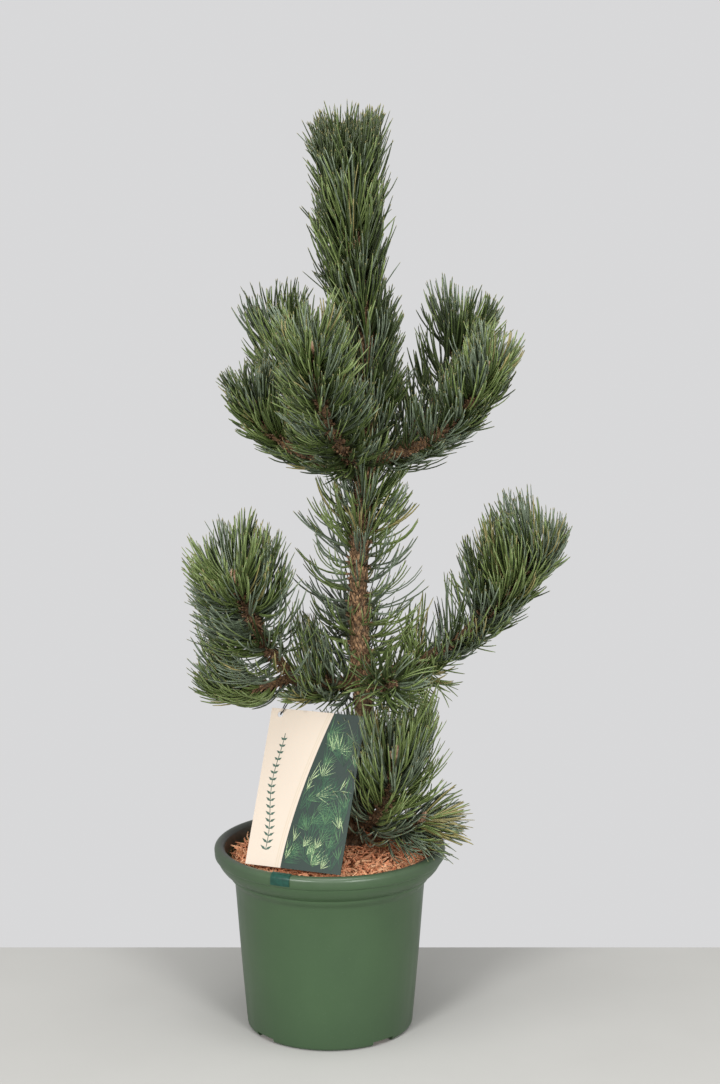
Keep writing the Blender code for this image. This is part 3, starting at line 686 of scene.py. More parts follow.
class Shoot:
    """A limb and its needles. What most shoots share stands here, and a shoot's own values replace it."""

    length = (0.070, 0.062)     # of the needles, at the start and at the bud
    spread = (56, 36)           # degrees between needle and stem, at the start and at the bud
    lift = 0.6                  # how strongly needles turn up
    along = 0.1                 # how strongly they turn along the stem
    claim = 1.0                 # a small claim gives a shoot more room among its neighbours
    hug = 0.45                  # how closely the needles underneath lie to the stem
    under = 0.12                # how much shorter they are
    stem = (0.0046, 0.0034)     # radius at the start and at the bud
    # tone brightens needles as painted light where a shoot lies in shade, and partly for its own colour
    tone = 0.0                  # above 0, brighter needles: partly painted light
    blue = 0.0                  # above 0, more blue-green ones: partly a painted sheen
    shed = 0.5                  # share of the old needles at its foot that have fallen
    parted = 0.0                # share of needles that are missing in a streak along it
    streak = 270                # the bearing that this streak faces
    patchy = 0.28               # at 0, needles are missing in patches, and at 1 nowhere
    loose = 0.13                # how far single needles stray from the rule
    bud = 0.9                   # size of its buds, or 0 for none
    trunk_span = None           # the heights that it covers, if its needles stand on the trunk

    def __init__(self, name, path, bare, density, **own):
        self.name = name
        self.path = path
        self.bare = bare                # share of the path that carries no needles
        self.density = density          # pairs of needles for each centimetre
        vars(self).update(own)

    def radius(self, share):
        """The radius that its needles stand on."""
        return trunk_radius(blend(*self.trunk_span, share)) if self.trunk_span else blend(*self.stem, share)


def bearing(degrees):
    return np.array((math.cos(math.radians(degrees)), math.sin(math.radians(degrees)), 0.0))


def arch(foot, degrees, reach, rise, elbow):
    """A limb's path from its foot past an elbow, at these shares of its reach and rise, to its bud."""
    out = bearing(degrees)
    bend = foot + out * reach * elbow[0] + UP * rise * elbow[1]
    bud = foot + out * reach + UP * rise

    def path(share):
        return (1 - share) ** 2 * foot + 2 * share * (1 - share) * bend + share**2 * bud

    return path


def whorl_arch(height, degrees, reach, rise, elbow):
    return arch(trunk_point(height), degrees, reach, rise, elbow)


def trunk_shoot(name, low, high, density, **own):
    """A stretch of the trunk that carries needles itself."""
    def path(share):
        return trunk_point(blend(low, high, share))

    return Shoot(name, path, 0.0, density, trunk_span=(low, high), under=0.0, shed=0.0, **own)


LEFT_BOUGH = whorl_arch(LOWER_WHORL, 188, 0.077, 0.006, (0.5, -1.2))
RIGHT_SHOOT = whorl_arch(LOWER_WHORL + 0.004, 0, 0.180, 0.132, (0.62, 0.13))
SHOOTS = (
    Shoot("left_shoot_front", arch(LEFT_BOUGH(FORK_SHARE), 227, 0.086, 0.115, (0.6, 0.42)), 0.0, 48,
          length=(0.106, 0.074), spread=(90, 47), lift=0.80, hug=0.25, tone=0.40, blue=0.14, parted=0.60,
          bud=1.1),
    Shoot("left_shoot_low", arch(LEFT_BOUGH(0.985), 181, 0.055, -0.008, (0.6, 1.9)), 0.0, 42,
          length=(0.070, 0.074), spread=(66, 42), lift=1.35, hug=0.72, under=0.22, along=0.30,
          stem=(0.0042, 0.0032), tone=0.62, blue=0.05, parted=0.3),
    Shoot("right_shoot", RIGHT_SHOOT, 0.26, 44,
          length=(0.096, 0.074), spread=(88, 54), lift=1.10, hug=0.82, under=0.60, along=-0.20, tone=0.28,
          blue=0.26, shed=0.0, parted=0.2, streak=300),
    Shoot("front_shoot", whorl_arch(LOWER_WHORL + 0.002, 289, 0.098, 0.016, (0.6, 0.2)), 0.26, 12,
          length=(0.058, 0.054), spread=(76, 26), lift=0.35, claim=0.9, hug=0.1, under=0.0, tone=0.05,
          blue=-0.25, loose=0.45, patchy=1.0, bud=0.0),
    Shoot("back_shoot", whorl_arch(LOWER_WHORL + 0.003, 95, 0.090, 0.040, (0.7, 0.3)), 0.26, 11,
          length=(0.052, 0.056), lift=0.5, loose=0.3),
    Shoot("upper_shoot_left", whorl_arch(UPPER_WHORL - 0.008, 180, 0.114, 0.072, (0.85, 0.25)), 0.16, 29,
          length=(0.060, 0.053), spread=(54, 38), hug=0.65, under=0.35, parted=0.3, shed=0.25),
    Shoot("upper_shoot_back_left", whorl_arch(UPPER_WHORL + 0.004, 130.5, 0.140, 0.118, (0.80, 0.25)), 0.16,
          26, lift=0.7, length=(0.072, 0.070)),
    Shoot("upper_shoot_front", whorl_arch(UPPER_WHORL - 0.002, 247, 0.130, 0.130, (0.80, 0.22)), 0.16, 31,
          length=(0.068, 0.062), spread=(66, 42), claim=0.9, hug=0.45, under=0.2, tone=-0.04, parted=0.32,
          shed=0.3),
    Shoot("upper_shoot_right", whorl_arch(UPPER_WHORL + 0.004, 331, 0.138, 0.098, (0.80, 0.22)), 0.16, 29,
          length=(0.064, 0.056), spread=(62, 40), lift=0.8, hug=0.65, under=0.35, tone=0.02, blue=0.12,
          parted=0.2, shed=0.25),
    Shoot("upper_shoot_back_right", whorl_arch(UPPER_WHORL - 0.006, 47, 0.150, 0.128, (0.80, 0.25)), 0.16, 26,
          length=(0.074, 0.070), spread=(62, 42), lift=0.7, tone=-0.08),
    Shoot("upper_shoot_back", whorl_arch(UPPER_WHORL + 0.010, 88, 0.100, 0.098, (0.75, 0.25)), 0.16, 24,
          hug=0.4),
    Shoot("foot_shoot_upright", whorl_arch(0.208, 304, 0.082, 0.098, (0.85, 0.22)), 0.22, 29,
          length=(0.086, 0.090), spread=(50, 26), lift=0.90, claim=0.55, hug=0.4, tone=1.30, patchy=0.5,
          bud=1.0, parted=0.65),
    Shoot("foot_shoot_low", whorl_arch(0.193, 328, 0.088, 0.038, (0.6, 0.3)), 0.26, 38,
          length=(0.054, 0.058), spread=(72, 40), lift=-0.12, hug=0.0, under=0.0, stem=(0.0034, 0.0026),
          tone=0.90, blue=-0.05, shed=0.1, patchy=0.6, loose=0.2),
)
LEADER = trunk_shoot("leader", 0.640, 0.864, 33, length=(0.058, 0.082), spread=(29, 26), lift=0.35, hug=0.0,
                     tone=-0.14, loose=0.21, parted=0.45, streak=285, patchy=0.6)
LEFT = Shoot("left_bough", LEFT_BOUGH, 0.20, 54, length=(0.072, 0.088), spread=(80, 68), lift=1.2, claim=0.6,
             hug=0.5, under=0.5, stem=LEFT_RADII, tone=0.42, blue=-0.06, parted=0.25, patchy=1.0, loose=0.2)


def right_foot_path(share):
    """The bare foot of the right bough, which carries some loose old needles."""
    return RIGHT_SHOOT(0.05 + 0.24 * share)


ALL_SHOOTS = (
    *SHOOTS,
    LEADER,
    trunk_shoot("leader_crown", 0.826, 0.870, 66, length=(0.106, 0.084), spread=(15, 22), lift=0.45, hug=0.0,
                tone=-0.55, loose=0.17, patchy=1.0),
    trunk_shoot("stem", 0.388, 0.572, 9.5, length=(0.078, 0.068), spread=(82, 62), lift=0.8, claim=0.6,
                hug=0.0, tone=0.85, patchy=1.0, loose=0.08),
    trunk_shoot("stem_top", 0.496, 0.600, 9, length=(0.066, 0.060), spread=(42, 34), lift=0.5, claim=0.6,
                hug=0.0, tone=0.6, patchy=1.0),
    trunk_shoot("whorl_tuft", 0.556, 0.648, 32, length=(0.062, 0.060), spread=(50, 36), lift=0.7, claim=0.6,
                hug=0.0),
    trunk_shoot("low_tuft", 0.338, 0.392, 18, length=(0.050, 0.062), spread=(96, 70), lift=0.1, claim=0.8,
                hug=0.0, tone=0.3, loose=0.3, patchy=1.0),
    trunk_shoot("foot_tuft", 0.212, 0.318, 17, length=(0.064, 0.070), spread=(50, 40), lift=0.6, claim=0.6,
                hug=0.0, tone=0.90, blue=-0.05, patchy=1.0),
    LEFT,
    Shoot("right_foot", right_foot_path, 0.0, 26, length=(0.058, 0.076), spread=(86, 74), lift=0.75,
          claim=0.75, hug=0.0, under=0.2, tone=0.34, loose=0.25, shed=0.0, patchy=1.0),
)
BUD_START = 0.97                # share of a stem's path where the bud takes over


def limb_line(path, start, end, radii, sides, relief):
    """Points, radii, sides and relief of a tapering limb along part of a path."""
    rough_length = np.linalg.norm(path(end) - path(start)) * 1.1
    shares = np.linspace(start, end, max(int(rough_length / RING_STEP), 8))
    widths = [blend(*radii, (share - start) / (end - start)) for share in shares]
    return [path(share) for share in shares], widths, sides, relief


bough_lines = [limb_line(LEFT_BOUGH, 0.07, 1.0, LEFT_RADII, *LEFT_BARK)]
stem_lines = []
for shoot in SHOOTS:
    if shoot.bare:
        radii = (shoot.stem[0] * BOUGH_SWELL, shoot.stem[0])
        bough_lines.append(limb_line(shoot.path, 0.03, shoot.bare + 0.004, radii, *BOUGH_BARK))
    stem_lines.append(limb_line(shoot.path, shoot.bare, BUD_START, shoot.stem, *STEM_BARK))
bough_nodes = [name for name in frame["nodes"] if "bough" in name and not name.endswith("needles")]
fit(bark_piece("bough_bark", bough_lines, bark), "scaly_bark", *bough_nodes)
fit(bark_piece("shoot_stems", stem_lines, bark), "scaly_bark")


# Every shoot is clothed in small overlapping scales, the brown bases that its needles grow from. They
# run in a spiral, and stand off a little at their tips.

SCALE_TURN = math.radians(137.5)
SHOOT_SCALES = {"Step": 0.00042, "Turn": SCALE_TURN, "Wander": 0.5, "Seed": 4}
TRUNK_SCALES = {"Step": 0.00030, "Turn": SCALE_TURN, "Wander": 0.6, "Seed": 9}


def new_curve(name):
    curve = bpy.data.curves.new(name, "CURVE")
    curve.dimensions = "3D"
    return curve


def add_line(curve, path, start, end, radius, points=26):
    """Adds a line along a limb, which carries the limb's radius, to a curve."""
    spline = curve.splines.new("POLY")
    spline.points.add(points - 1)
    for control, share in zip(spline.points, np.linspace(start, end, points)):
        control.co = (*path(share), 1.0)
        control.radius = radius(share)


def outward(mesh):
    """Turns the faces of a closed mesh outwards."""
    work = bmesh.new()
    work.from_mesh(mesh)
    bmesh.ops.recalc_face_normals(work, faces=work.faces)
    work.to_mesh(mesh)
    work.free()
    return mesh


def scale_shape(name, length, width, stand):
    """One scale, made for a stem of radius 1 that runs along Z: a keeled plate that lies on +X."""
    middle = 1.0 + stand * 0.6
    keel = 1.0 + stand * 0.95
    outline = (
        (-0.15, 0.0, 0.98), (0.25, -0.5, 1.02), (0.25, 0.5, 1.02), (0.62, -0.36, middle),
        (0.62, 0.36, middle), (1.0, 0.0, 1.0 + stand), (0.35, 0.0, keel), (0.2, 0.0, 0.8),
    )
    verts = [(out, across * width, along * length) for along, across, out in outline]
    faces = [(0, 1, 6), (0, 6, 2), (1, 3, 6), (2, 6, 4), (3, 5, 6), (4, 6, 5)]
    faces += [(0, 7, 1), (0, 2, 7), (1, 7, 3), (2, 4, 7), (3, 7, 5), (4, 5, 7)]
    mesh = bpy.data.meshes.new(name)
    mesh.from_pydata(verts, [], faces)
    return bpy.data.objects.new(name, outward(mesh))


def spiral_tree():
    """Sets one shape after another round a curve, in a spiral, each as large as the curve's radius there."""
    tree = Growth("spiral_scales", Step="Float", Turn="Float", Wander="Float", Seed="Int", Shape="Object")
    given = tree.given
    line = {"Curve": given["Geometry"], "Length": given["Step"]}
    points = tree.add("GeometryNodeCurveToPoints", line, mode="LENGTH")
    steady = tree.maths("MULTIPLY", tree.add("GeometryNodeInputIndex", {})[0], given["Turn"])
    angle = tree.maths("ADD", steady, tree.random(0.0, given["Wander"]))
    spin = tree.add("FunctionNodeAxisAngleToRotation", {"Axis": (0.0, 0.0, 1.0), "Angle": angle})[0]
    turns = {"Rotation": points["Rotation"], "Rotate By": spin}
    turned = tree.add("FunctionNodeRotateRotation", turns, rotation_space="LOCAL")[0]
    shape = tree.add("GeometryNodeObjectInfo", {"Object": given["Shape"]}, transform_space="ORIGINAL")
    radius = tree.add("GeometryNodeInputRadius", {})[0]
    tree.end(tree.add("GeometryNodeInstanceOnPoints", {
        "Points": points["Points"], "Instance": shape["Geometry"], "Rotation": turned,
        "Scale": tree.maths("MULTIPLY", radius, tree.random(0.85, 1.12)),
    })[0])
    return tree


def scaled_piece(name, curve, shape, values, finish):
    """A piece of scales along every line of a curve."""
    piece = SPIRAL.grow(name, curve, finish, {"Shape": shape, **values})
    bpy.data.objects.remove(shape, do_unlink=True)
    return piece


def scale_finish(name, dark, light):
    finish = mottled(name, dark, light, 0.80, 0.3, 260.0, 0.14)
    finish.relief(finish.grain(1500.0, detail=2.0), 0.4, 0.0003)
    return finish


def trunk_scale_radius(height):
    return trunk_radius(height) + 0.0002


SPIRAL = spiral_tree()
shoot_lines = new_curve("shoot_lines")
for shoot in SHOOTS:
    add_line(shoot_lines, shoot.path, max(shoot.bare - 0.10, 0.04), 0.985, shoot.radius)
add_line(shoot_lines, LEFT_BOUGH, 0.12, 0.97, LEFT.radius)
finish = scale_finish("shoot_scales", (0.060, 0.031, 0.014), (0.270, 0.150, 0.060))
scale = scale_shape("scale", 0.75, 0.40, 0.22)
fit(scaled_piece("needle_bases", shoot_lines, scale, SHOOT_SCALES, finish), "scaly_bark")
trunk_lines = new_curve("trunk_lines")
add_line(trunk_lines, trunk_point, 0.345, 0.868, trunk_scale_radius, points=60)
finish = scale_finish("trunk_scale_bark", (0.090, 0.052, 0.028), (0.430, 0.255, 0.135))
scale = scale_shape("trunk_scale", 0.62, 0.38, 0.11)
fit(scaled_piece("trunk_scales", trunk_lines, scale, TRUNK_SCALES, finish), "scaly_bark")


# Each shoot ends in a pointed resting bud with a few smaller ones round it. They are wrapped in narrow
# papery scales, beige to red-brown.

BUD_LENGTH = 0.015
BUD_WIDTH = 0.0066
SIDE_BUDS = 4
BUD_SIDES = 8
BUD_SCALES = {"Step": 0.00030, "Turn": SCALE_TURN, "Wander": 0.2, "Seed": 6}
BUD_TURN_START = (0.31, 0.22, 0.93)


def heading(path, share):
    step = 0.01
    return unit(path(min(share + step, 1.0)) - path(max(share - step, 0.0)))


def spindle(share):
    """A bud's width at a share of its length: blunt below, widest a third of the way up, and pointed."""
    return math.sin(math.pi * min(0.22 + 0.78 * share, 1.0)) ** 0.8


def add_bud(foot, way, length, width):
    """Adds a bud's line to the curve that its scales follow, and its core to the cores' skin."""
    def path(share):
        return foot + way * length * share

    def radius(share):
        return width / 2 * (0.10 + 0.90 * spindle(share))

    add_line(bud_lines, path, 0.0, 1.0, radius, points=14)
    side = unit(np.cross(way, BUD_TURN_START))
    other = np.cross(way, side)
    rings = []
    for share in [k / 7 for k in range(8)]:
        inner = width / 2 * (0.08 + 0.88 * spindle(share))
        angles = [2 * math.pi * corner / BUD_SIDES for corner in range(BUD_SIDES)]
        rings.append([path(share) + inner * (math.cos(a) * side + math.sin(a) * other) for a in angles])
    bud_skin.add(rings)


bud_lines = new_curve("bud_lines")
bud_skin = Skin()
bud_dice = random.Random(77)
for shoot in [shoot for shoot in (*SHOOTS, LEADER) if shoot.bud]:
    tip = shoot.path(0.975)
    ahead = heading(shoot.path, 0.98)
    size = shoot.bud
    add_bud(tip, unit(ahead + 0.6 * UP), BUD_LENGTH * size, BUD_WIDTH * size)
    across = unit(np.cross(ahead, BUD_TURN_START))
    for number in range(SIDE_BUDS):
        angle = 2 * math.pi * (number / SIDE_BUDS + bud_dice.uniform(-0.06, 0.06))
        out = math.cos(angle) * across + math.sin(angle) * np.cross(ahead, across)
        foot = tip + out * BUD_WIDTH * 0.35 * size - ahead * 0.001
        add_bud(foot, unit(ahead + 0.75 * out), BUD_LENGTH * 0.6 * size, BUD_WIDTH * 0.65 * size)
bud_finish = scale_finish("bud_scales", (0.300, 0.160, 0.095), (0.580, 0.430, 0.300))
fit(new_piece("bud_cores", bud_skin.mesh("bud_cores"), bud_finish), "scaly_bark")
scale = scale_shape("bud_scale", 1.05, 0.50, 0.10)
fit(scaled_piece("buds", bud_lines, scale, BUD_SCALES, bud_finish), "scaly_bark")


# The needles stand in pairs, each pair in a short brown sheath, all round the shoots: stiff, a little
# curved and turned up to the light. They are deep green, with blue-green, bright and yellowed ones among
# them, dealt out by spray. A shoot's tone makes it brighter or darker, partly for its own colour and partly
# as painted light that brightens shoots lying in shade, and the pale blue-green needles are partly a painted
# sheen. They follow the same growth rule as the solids, with more and finer needles.

TURN_STEP = 2 * math.pi * 0.5698402910      # these two steps spread the pairs evenly, round a stem
SHARE_STEP = 0.7548776662                   # and along it
TURN_STRAY = 0.25               # how far a pair strays from its turn, in radians
TIP_CROWDING = 1.25             # above 1, pairs crowd towards the bud
NEEDLED_BARE_PART = 0.35        # a bough's bare part ends in thinly set needles from here on
LEFT_NEEDLES_END = 0.70         # share of the left bough where its own needles end
ROOT_DEPTH = 0.0004             # how deep a pair's root sits in the stem
SPREAD_RANGE = (0.72, 1.22)     # a pair's own share of its shoot's spread
STRAY_SHARE = 0.05              # share of pairs that stand off wider than the rest
STRAY_SPREAD = 1.45             # how much wider
REACH_RANGE = (0.84, 1.09)      # a pair's own share of its shoot's needle length
NEEDLE_BOW = 0.55               # how much more a needle bends than a plain arc to its lifted way
BOW_RANGE = (0.3, 1.5)          # a pair's own share of that bow
BOW_STRAY = 0.075
DRIFT_BOW = 0.24                # how much the lean that neighbours share adds to the bow
DRIFT_LIFT = 0.12               # and to the lifted way
DRIFT_SHIFTS = ((9.3, -1.5, -8.0), (3.1, 7.7, 2.9), (-5.3, 4.1, 6.6))      # one for each part of that lean
PAIR_OPENING = 0.085            # half the angle between the two needles of a pair, in radians
PAIR_GAP = 0.00025              # from the middle of a pair's root to each needle's
ROOM_MARGIN = 0.013             # how far a needle may reach in among those of the next shoot
CHECKED_SHARES = (0.35, 0.6, 0.8, 1.0)      # of a needle's length, where it has to stand clear
BOX_MARGIN = 0.012              # how far needles may pass the solids' box, as a share of its sides
NEEDLE_WIDTH = 0.0023
NEEDLE_FLATNESS = 0.62          # its thickness as a share of its width
NEEDLE_TAPER = 9.0              # the higher, the nearer to its point it narrows
SHEATH_WIDTH = 0.0024
SHEATH_SHARE = 0.085
TIP_SHARE = 0.965
NEEDLE_KINDS = (
    # name, colour, second colour
    ("deep", (0.025, 0.038, 0.010), (0.043, 0.064, 0.017)),
    ("green", (0.056, 0.086, 0.020), (0.090, 0.128, 0.032)),
    # the blue-green kind: the needles' pale bloom, and partly a painted sheen
    ("blue_green", (0.082, 0.112, 0.066), (0.160, 0.200, 0.136)),
    ("bright", (0.114, 0.164, 0.045), (0.176, 0.226, 0.076)),
    ("yellowed", (0.215, 0.195, 0.066), (0.280, 0.238, 0.096)),
)
DEEP, GREEN, BLUE_GREEN, BRIGHT, YELLOWED = range(len(NEEDLE_KINDS))
CARD_WIDTH = 0.1034
CARD_HEIGHT = 0.1617
CARD_FOOT = (-0.0361, -0.0931, POT_HEIGHT + 0.0008)     # middle of its lower edge, on the lip
CARD_TURN = -21.2               # degrees about the upright
CARD_LEAN = 25.8                # degrees back from the upright


def card_place():
    """Puts the card's own frame, with its foot at the origin and its height along Z, in the pot."""
    turn = Matrix.Rotation(math.radians(CARD_TURN), 4, "Z")
    lean = Matrix.Rotation(math.radians(-CARD_LEAN), 4, "X")
    return Matrix.Translation(CARD_FOOT) @ turn @ lean


def line_points(path, start, end, count):
    return np.array([path(share) for share in np.linspace(start, end, count)])


SPINES = {shoot.name: line_points(shoot.path, max(shoot.bare, 0.05), 1.0, 24) for shoot in ALL_SHOOTS}
CLAIMS = {shoot.name: shoot.claim for shoot in ALL_SHOOTS}
TRUNK_LINE = line_points(trunk_point, 0.185, 0.866, 200)
TRUNK_ROOM = np.array([trunk_radius(point[2]) for point in TRUNK_LINE]) + 0.0012
LEFT_LINE = line_points(LEFT_BOUGH, 0.0, 1.0, 40)
LEFT_ROOM = LEFT_RADII[0] + 0.0006


def gaps(points, line):
    """How far every point is from every point of a line."""
    return np.linalg.norm(points[:, None] - line[None], axis=2)


def nearness(name, points):
    return gaps(points, SPINES[name]).min(axis=1) * CLAIMS[name]


def in_own_room(name, points):
    """Which points lie nearer to this shoot than to any other, give or take the margin."""
    own = nearness(name, points) - ROOM_MARGIN
    fine = np.ones(len(points), bool)
    for other in SPINES:
        if other != name:
            fine &= nearness(other, points) > own
    return fine


def clear_of_card(points):
    matrix = np.array(card_place().inverted())
    local = points @ matrix[:3, :3].T + matrix[:3, 3]
    near = (np.abs(local[:, 0]) < CARD_WIDTH / 2 + 0.002) & (np.abs(local[:, 1]) < 0.0025)
    return ~(near & (local[:, 2] > -0.002) & (local[:, 2] < CARD_HEIGHT + 0.002))


def clear_of_pot(points):
    from_axis = np.hypot(points[:, 0], points[:, 1])
    in_mulch = (from_axis < RIM_RADIUS) & (points[:, 2] < SOIL_EDGE_HEIGHT + 0.010)
    in_lip = (from_axis > RIM_RADIUS - LIP_WIDTH - 0.002) & (from_axis < RIM_RADIUS + 0.001)
    return ~(in_mulch | in_lip & (points[:, 2] < POT_HEIGHT + 0.002))


def clear_of_limbs(shoot, points):
    """Which points stand clear of the trunk and the left bough, unless the shoot grows on that limb."""
    fine = np.ones(len(points), bool)
    if not shoot.trunk_span:
        fine &= (gaps(points, TRUNK_LINE) > TRUNK_ROOM).all(axis=1)
    if shoot is not LEFT:
        fine &= gaps(points, LEFT_LINE).min(axis=1) > LEFT_ROOM
    return fine


def picked(table, chosen):
    return {key: values[chosen] for key, values in table.items()}


def on_curve(needles, share):
    """The points at a share of each needle's length, on the bend from its way out to its lifted way."""
    bent = needles["out"] * (share - share**2 / 2) + needles["lifted"] * share**2 / 2
    return needles["root"] + needles["reach"][:, None] * bent


def patches(points, waves, shift=(0.0, 0.0, 0.0)):
    """Soft noise at every point, with this many waves a metre."""
    return np.array([noise.noise(Vector(point) * waves + Vector(shift)) for point in points])


def slow_drift(point, side):
    """A lean that changes little from one needle to the next, so that neighbours share it."""
    place = Vector(point) * 60 + Vector(side) * 1.5
    return [noise.noise(place + Vector(shift)) for shift in DRIFT_SHIFTS]


def grow_pairs(shoot, seed):
    """Every pair of needles of one shoot, but for those that would leave its room or touch a limb."""
    dice = np.random.default_rng(seed)
    end = LEFT_NEEDLES_END if shoot is LEFT else 0.99
    start = shoot.bare * NEEDLED_BARE_PART + 0.03
    run = np.linalg.norm(np.diff(line_points(shoot.path, start, end, 41), axis=0), axis=1).sum()
    count = int(float(run) * 100 * shoot.density)
    number = np.arange(count)
    turn = dice.uniform(0, 2 * math.pi) + TURN_STEP * number + dice.normal(0, TURN_STRAY, count)
    share = blend(end, start, ((number * SHARE_STEP) % 1.0) ** TIP_CROWDING)
    along = np.array([heading(shoot.path, s) for s in share])
    first = unit(np.cross(along, TURN_START))
    second = np.cross(along, first)
    side = np.cos(turn)[:, None] * first + np.sin(turn)[:, None] * second
    grown = np.maximum((share - shoot.bare) / (1 - shoot.bare), 0)
    below = np.maximum(-side[:, 2], 0)
    spread = blend(*shoot.spread, grown**1.3) * (1 - shoot.hug * below)
    stray = dice.uniform(0, 1, count) < STRAY_SHARE
    spread = np.radians(spread * dice.uniform(*SPREAD_RANGE, count) * np.where(stray, STRAY_SPREAD, 1.0))
    out = along * np.cos(spread)[:, None] + side * np.sin(spread)[:, None]
    reach = blend(*shoot.length, grown) * dice.uniform(*REACH_RANGE, count)
    reach = reach * (1 - shoot.under * below)
    lift = shoot.lift * (1 - 0.5 * below)[:, None]
    lifted = unit(out + lift * UP + shoot.along * along + dice.normal(0, shoot.loose, (count, 3)))
    centre = np.array([shoot.path(s) for s in share])
    drift = np.array([slow_drift(point, way) for point, way in zip(centre, side)])
    bend = NEEDLE_BOW * dice.uniform(*BOW_RANGE, count)[:, None] * (lifted - out)
    bend = bend + dice.normal(0, BOW_STRAY, (count, 3)) + DRIFT_BOW * drift
    out, lifted = unit(out - bend), unit(lifted + bend + DRIFT_LIFT * drift)
    root = centre + side * (np.array([shoot.radius(s) for s in share]) - ROOT_DEPTH)[:, None]
    pairs = {"root": root, "out": out, "lifted": lifted, "reach": reach, "grown": grown}
    fine = dice.uniform(0, 1, count) > shoot.shed * np.clip(1 - 2 * grown, 0, 1)
    fine &= patches(root, 75) > -shoot.patchy
    if shoot.parted:
        facing = bearing(shoot.streak)
        square = unit(facing - along * (along @ facing)[:, None])
        in_streak = np.clip(3 * (side * square).sum(axis=1) - 1.8, 0, 1)
        fine &= dice.uniform(0, 1, count) > shoot.parted * in_streak
    for checked in CHECKED_SHARES:
        points = on_curve(pairs, checked)
        fine &= in_own_room(shoot.name, points) & clear_of_card(points) & clear_of_pot(points)
        fine &= clear_of_limbs(shoot, points)
    return picked(pairs, fine)


def split_pairs(pairs, seed):
    """The two needles of every pair, which open from one sheath."""
    dice = np.random.default_rng(seed)
    count = len(pairs["reach"])
    apart = unit(np.cross(pairs["out"], unit(dice.normal(0, 1, (count, 3)))))
    both = []
    for way in (-1, 1):
        opening = (way * PAIR_OPENING * dice.uniform(0.45, 1.35, count))[:, None] * apart
        both.append({
            "root": pairs["root"] + way * PAIR_GAP * apart,
            "out": unit(pairs["out"] + opening * 0.6),
            "lifted": unit(pairs["lifted"] + opening * 1.6 + dice.normal(0, 0.02, (count, 3))),
            "reach": pairs["reach"] * dice.uniform(0.95, 1.0, count),
            "flat": apart,
            "kind": pairs["kind"],
        })
    return {key: np.concatenate([needles[key] for needles in both]) for key in both[0]}


def deal_kinds(shoot, pairs, seed):
    """Gives every pair a kind. Pairs that stand close together mostly share one, as in a spray."""
    dice = np.random.default_rng(seed)
    count = len(pairs["reach"])
    light = 0.75 * patches(pairs["root"], 48) + 0.25 * (pairs["grown"] - 0.55)
    # a shoot's tone: painted light for shoots that lie in shade, and partly their own paler or darker colour
    light = light + dice.normal(0, 0.34, count) + shoot.tone
    blue = patches(pairs["root"], 30, (4.0, 9.0, 2.0)) + dice.normal(0, 0.16, count) + shoot.blue
    kinds = np.select([light > 0.24, light > -0.15], [BRIGHT, GREEN], DEEP)
    # blue-green needles: partly a painted sheen
    kinds[(blue > 0.06) & (light > -0.10) & (light < 0.50 + shoot.tone)] = BLUE_GREEN
    kinds[light > 0.84 + 0.8 * max(shoot.tone, 0)] = YELLOWED
    return kinds


def needle_tree():
    """Draws a tapering needle from each point, bent from its way out to its lifted way."""
    tree = Growth("grow_needles", Sides="Int", Segments="Int", Width="Float", Flatness="Float", From="Float",
                  To="Float", Taper="Float")
    given, maths, vectors = tree.given, tree.maths, tree.vectors

    def scaled(vector, factor):
        return tree.add("ShaderNodeVectorMath", {0: vector, "Scale": factor}, operation="SCALE")[0]

    def kept(name, kind="FLOAT_VECTOR"):
        return tree.add("GeometryNodeInputNamedAttribute", {"Name": name}, data_type=kind)[0]

    def keep(geometry, name, value, kind="FLOAT_VECTOR"):
        values = {"Geometry": geometry, "Name": name, "Value": value}
        return tree.add("GeometryNodeStoreNamedAttribute", values, data_type=kind, domain="POINT")[0]

    def square_to(way, other):
        return vectors("NORMALIZE", vectors("CROSS_PRODUCT", way, other))

    position = tree.add("GeometryNodeInputPosition", {})[0]
    rod = tree.add("GeometryNodeMeshCylinder", {
        "Vertices": given["Sides"], "Side Segments": given["Segments"], "Radius": 0.5, "Depth": 1.0,
    })["Mesh"]
    rod_share = maths("ADD", tree.parts(position)["Z"], 0.5)
    span = maths("SUBTRACT", given["To"], given["From"])
    along = maths("ADD", given["From"], maths("MULTIPLY", rod_share, span))
    rod = keep(keep(rod, "share", along, "FLOAT"), "ring", position)
    roots = keep(given["Geometry"], "root", position)
    stood = tree.add("GeometryNodeInstanceOnPoints", {"Points": roots, "Instance": rod})[0]
    real = tree.add("GeometryNodeRealizeInstances", {"Geometry": stood})[0]

    share = kept("share", "FLOAT")
    half_square = maths("MULTIPLY", maths("MULTIPLY", share, share), 0.5)
    outward_part = scaled(kept("out"), maths("SUBTRACT", share, half_square))
    upward_part = scaled(kept("lifted"), half_square)
    bent = scaled(vectors("ADD", outward_part, upward_part), kept("reach", "FLOAT"))
    way = vectors("ADD", scaled(kept("out"), maths("SUBTRACT", 1.0, share)), scaled(kept("lifted"), share))
    broad = square_to(way, kept("flat"))
    deep = square_to(way, broad)
    narrowing = maths("POWER", maths("SUBTRACT", 1.0, maths("POWER", share, given["Taper"])), 0.5)
    width = maths("MULTIPLY", given["Width"], maths("ADD", 0.06, maths("MULTIPLY", narrowing, 0.94)))
    ring = tree.parts(kept("ring"))
    sideways = scaled(broad, maths("MULTIPLY", ring["X"], width))
    through = scaled(deep, maths("MULTIPLY", maths("MULTIPLY", ring["Y"], width), given["Flatness"]))
    place = vectors("ADD", vectors("ADD", kept("root"), bent), vectors("ADD", sideways, through))
    tree.end(tree.add("GeometryNodeSetPosition", {"Geometry": real, "Position": place})[0], smooth=True)
    return tree


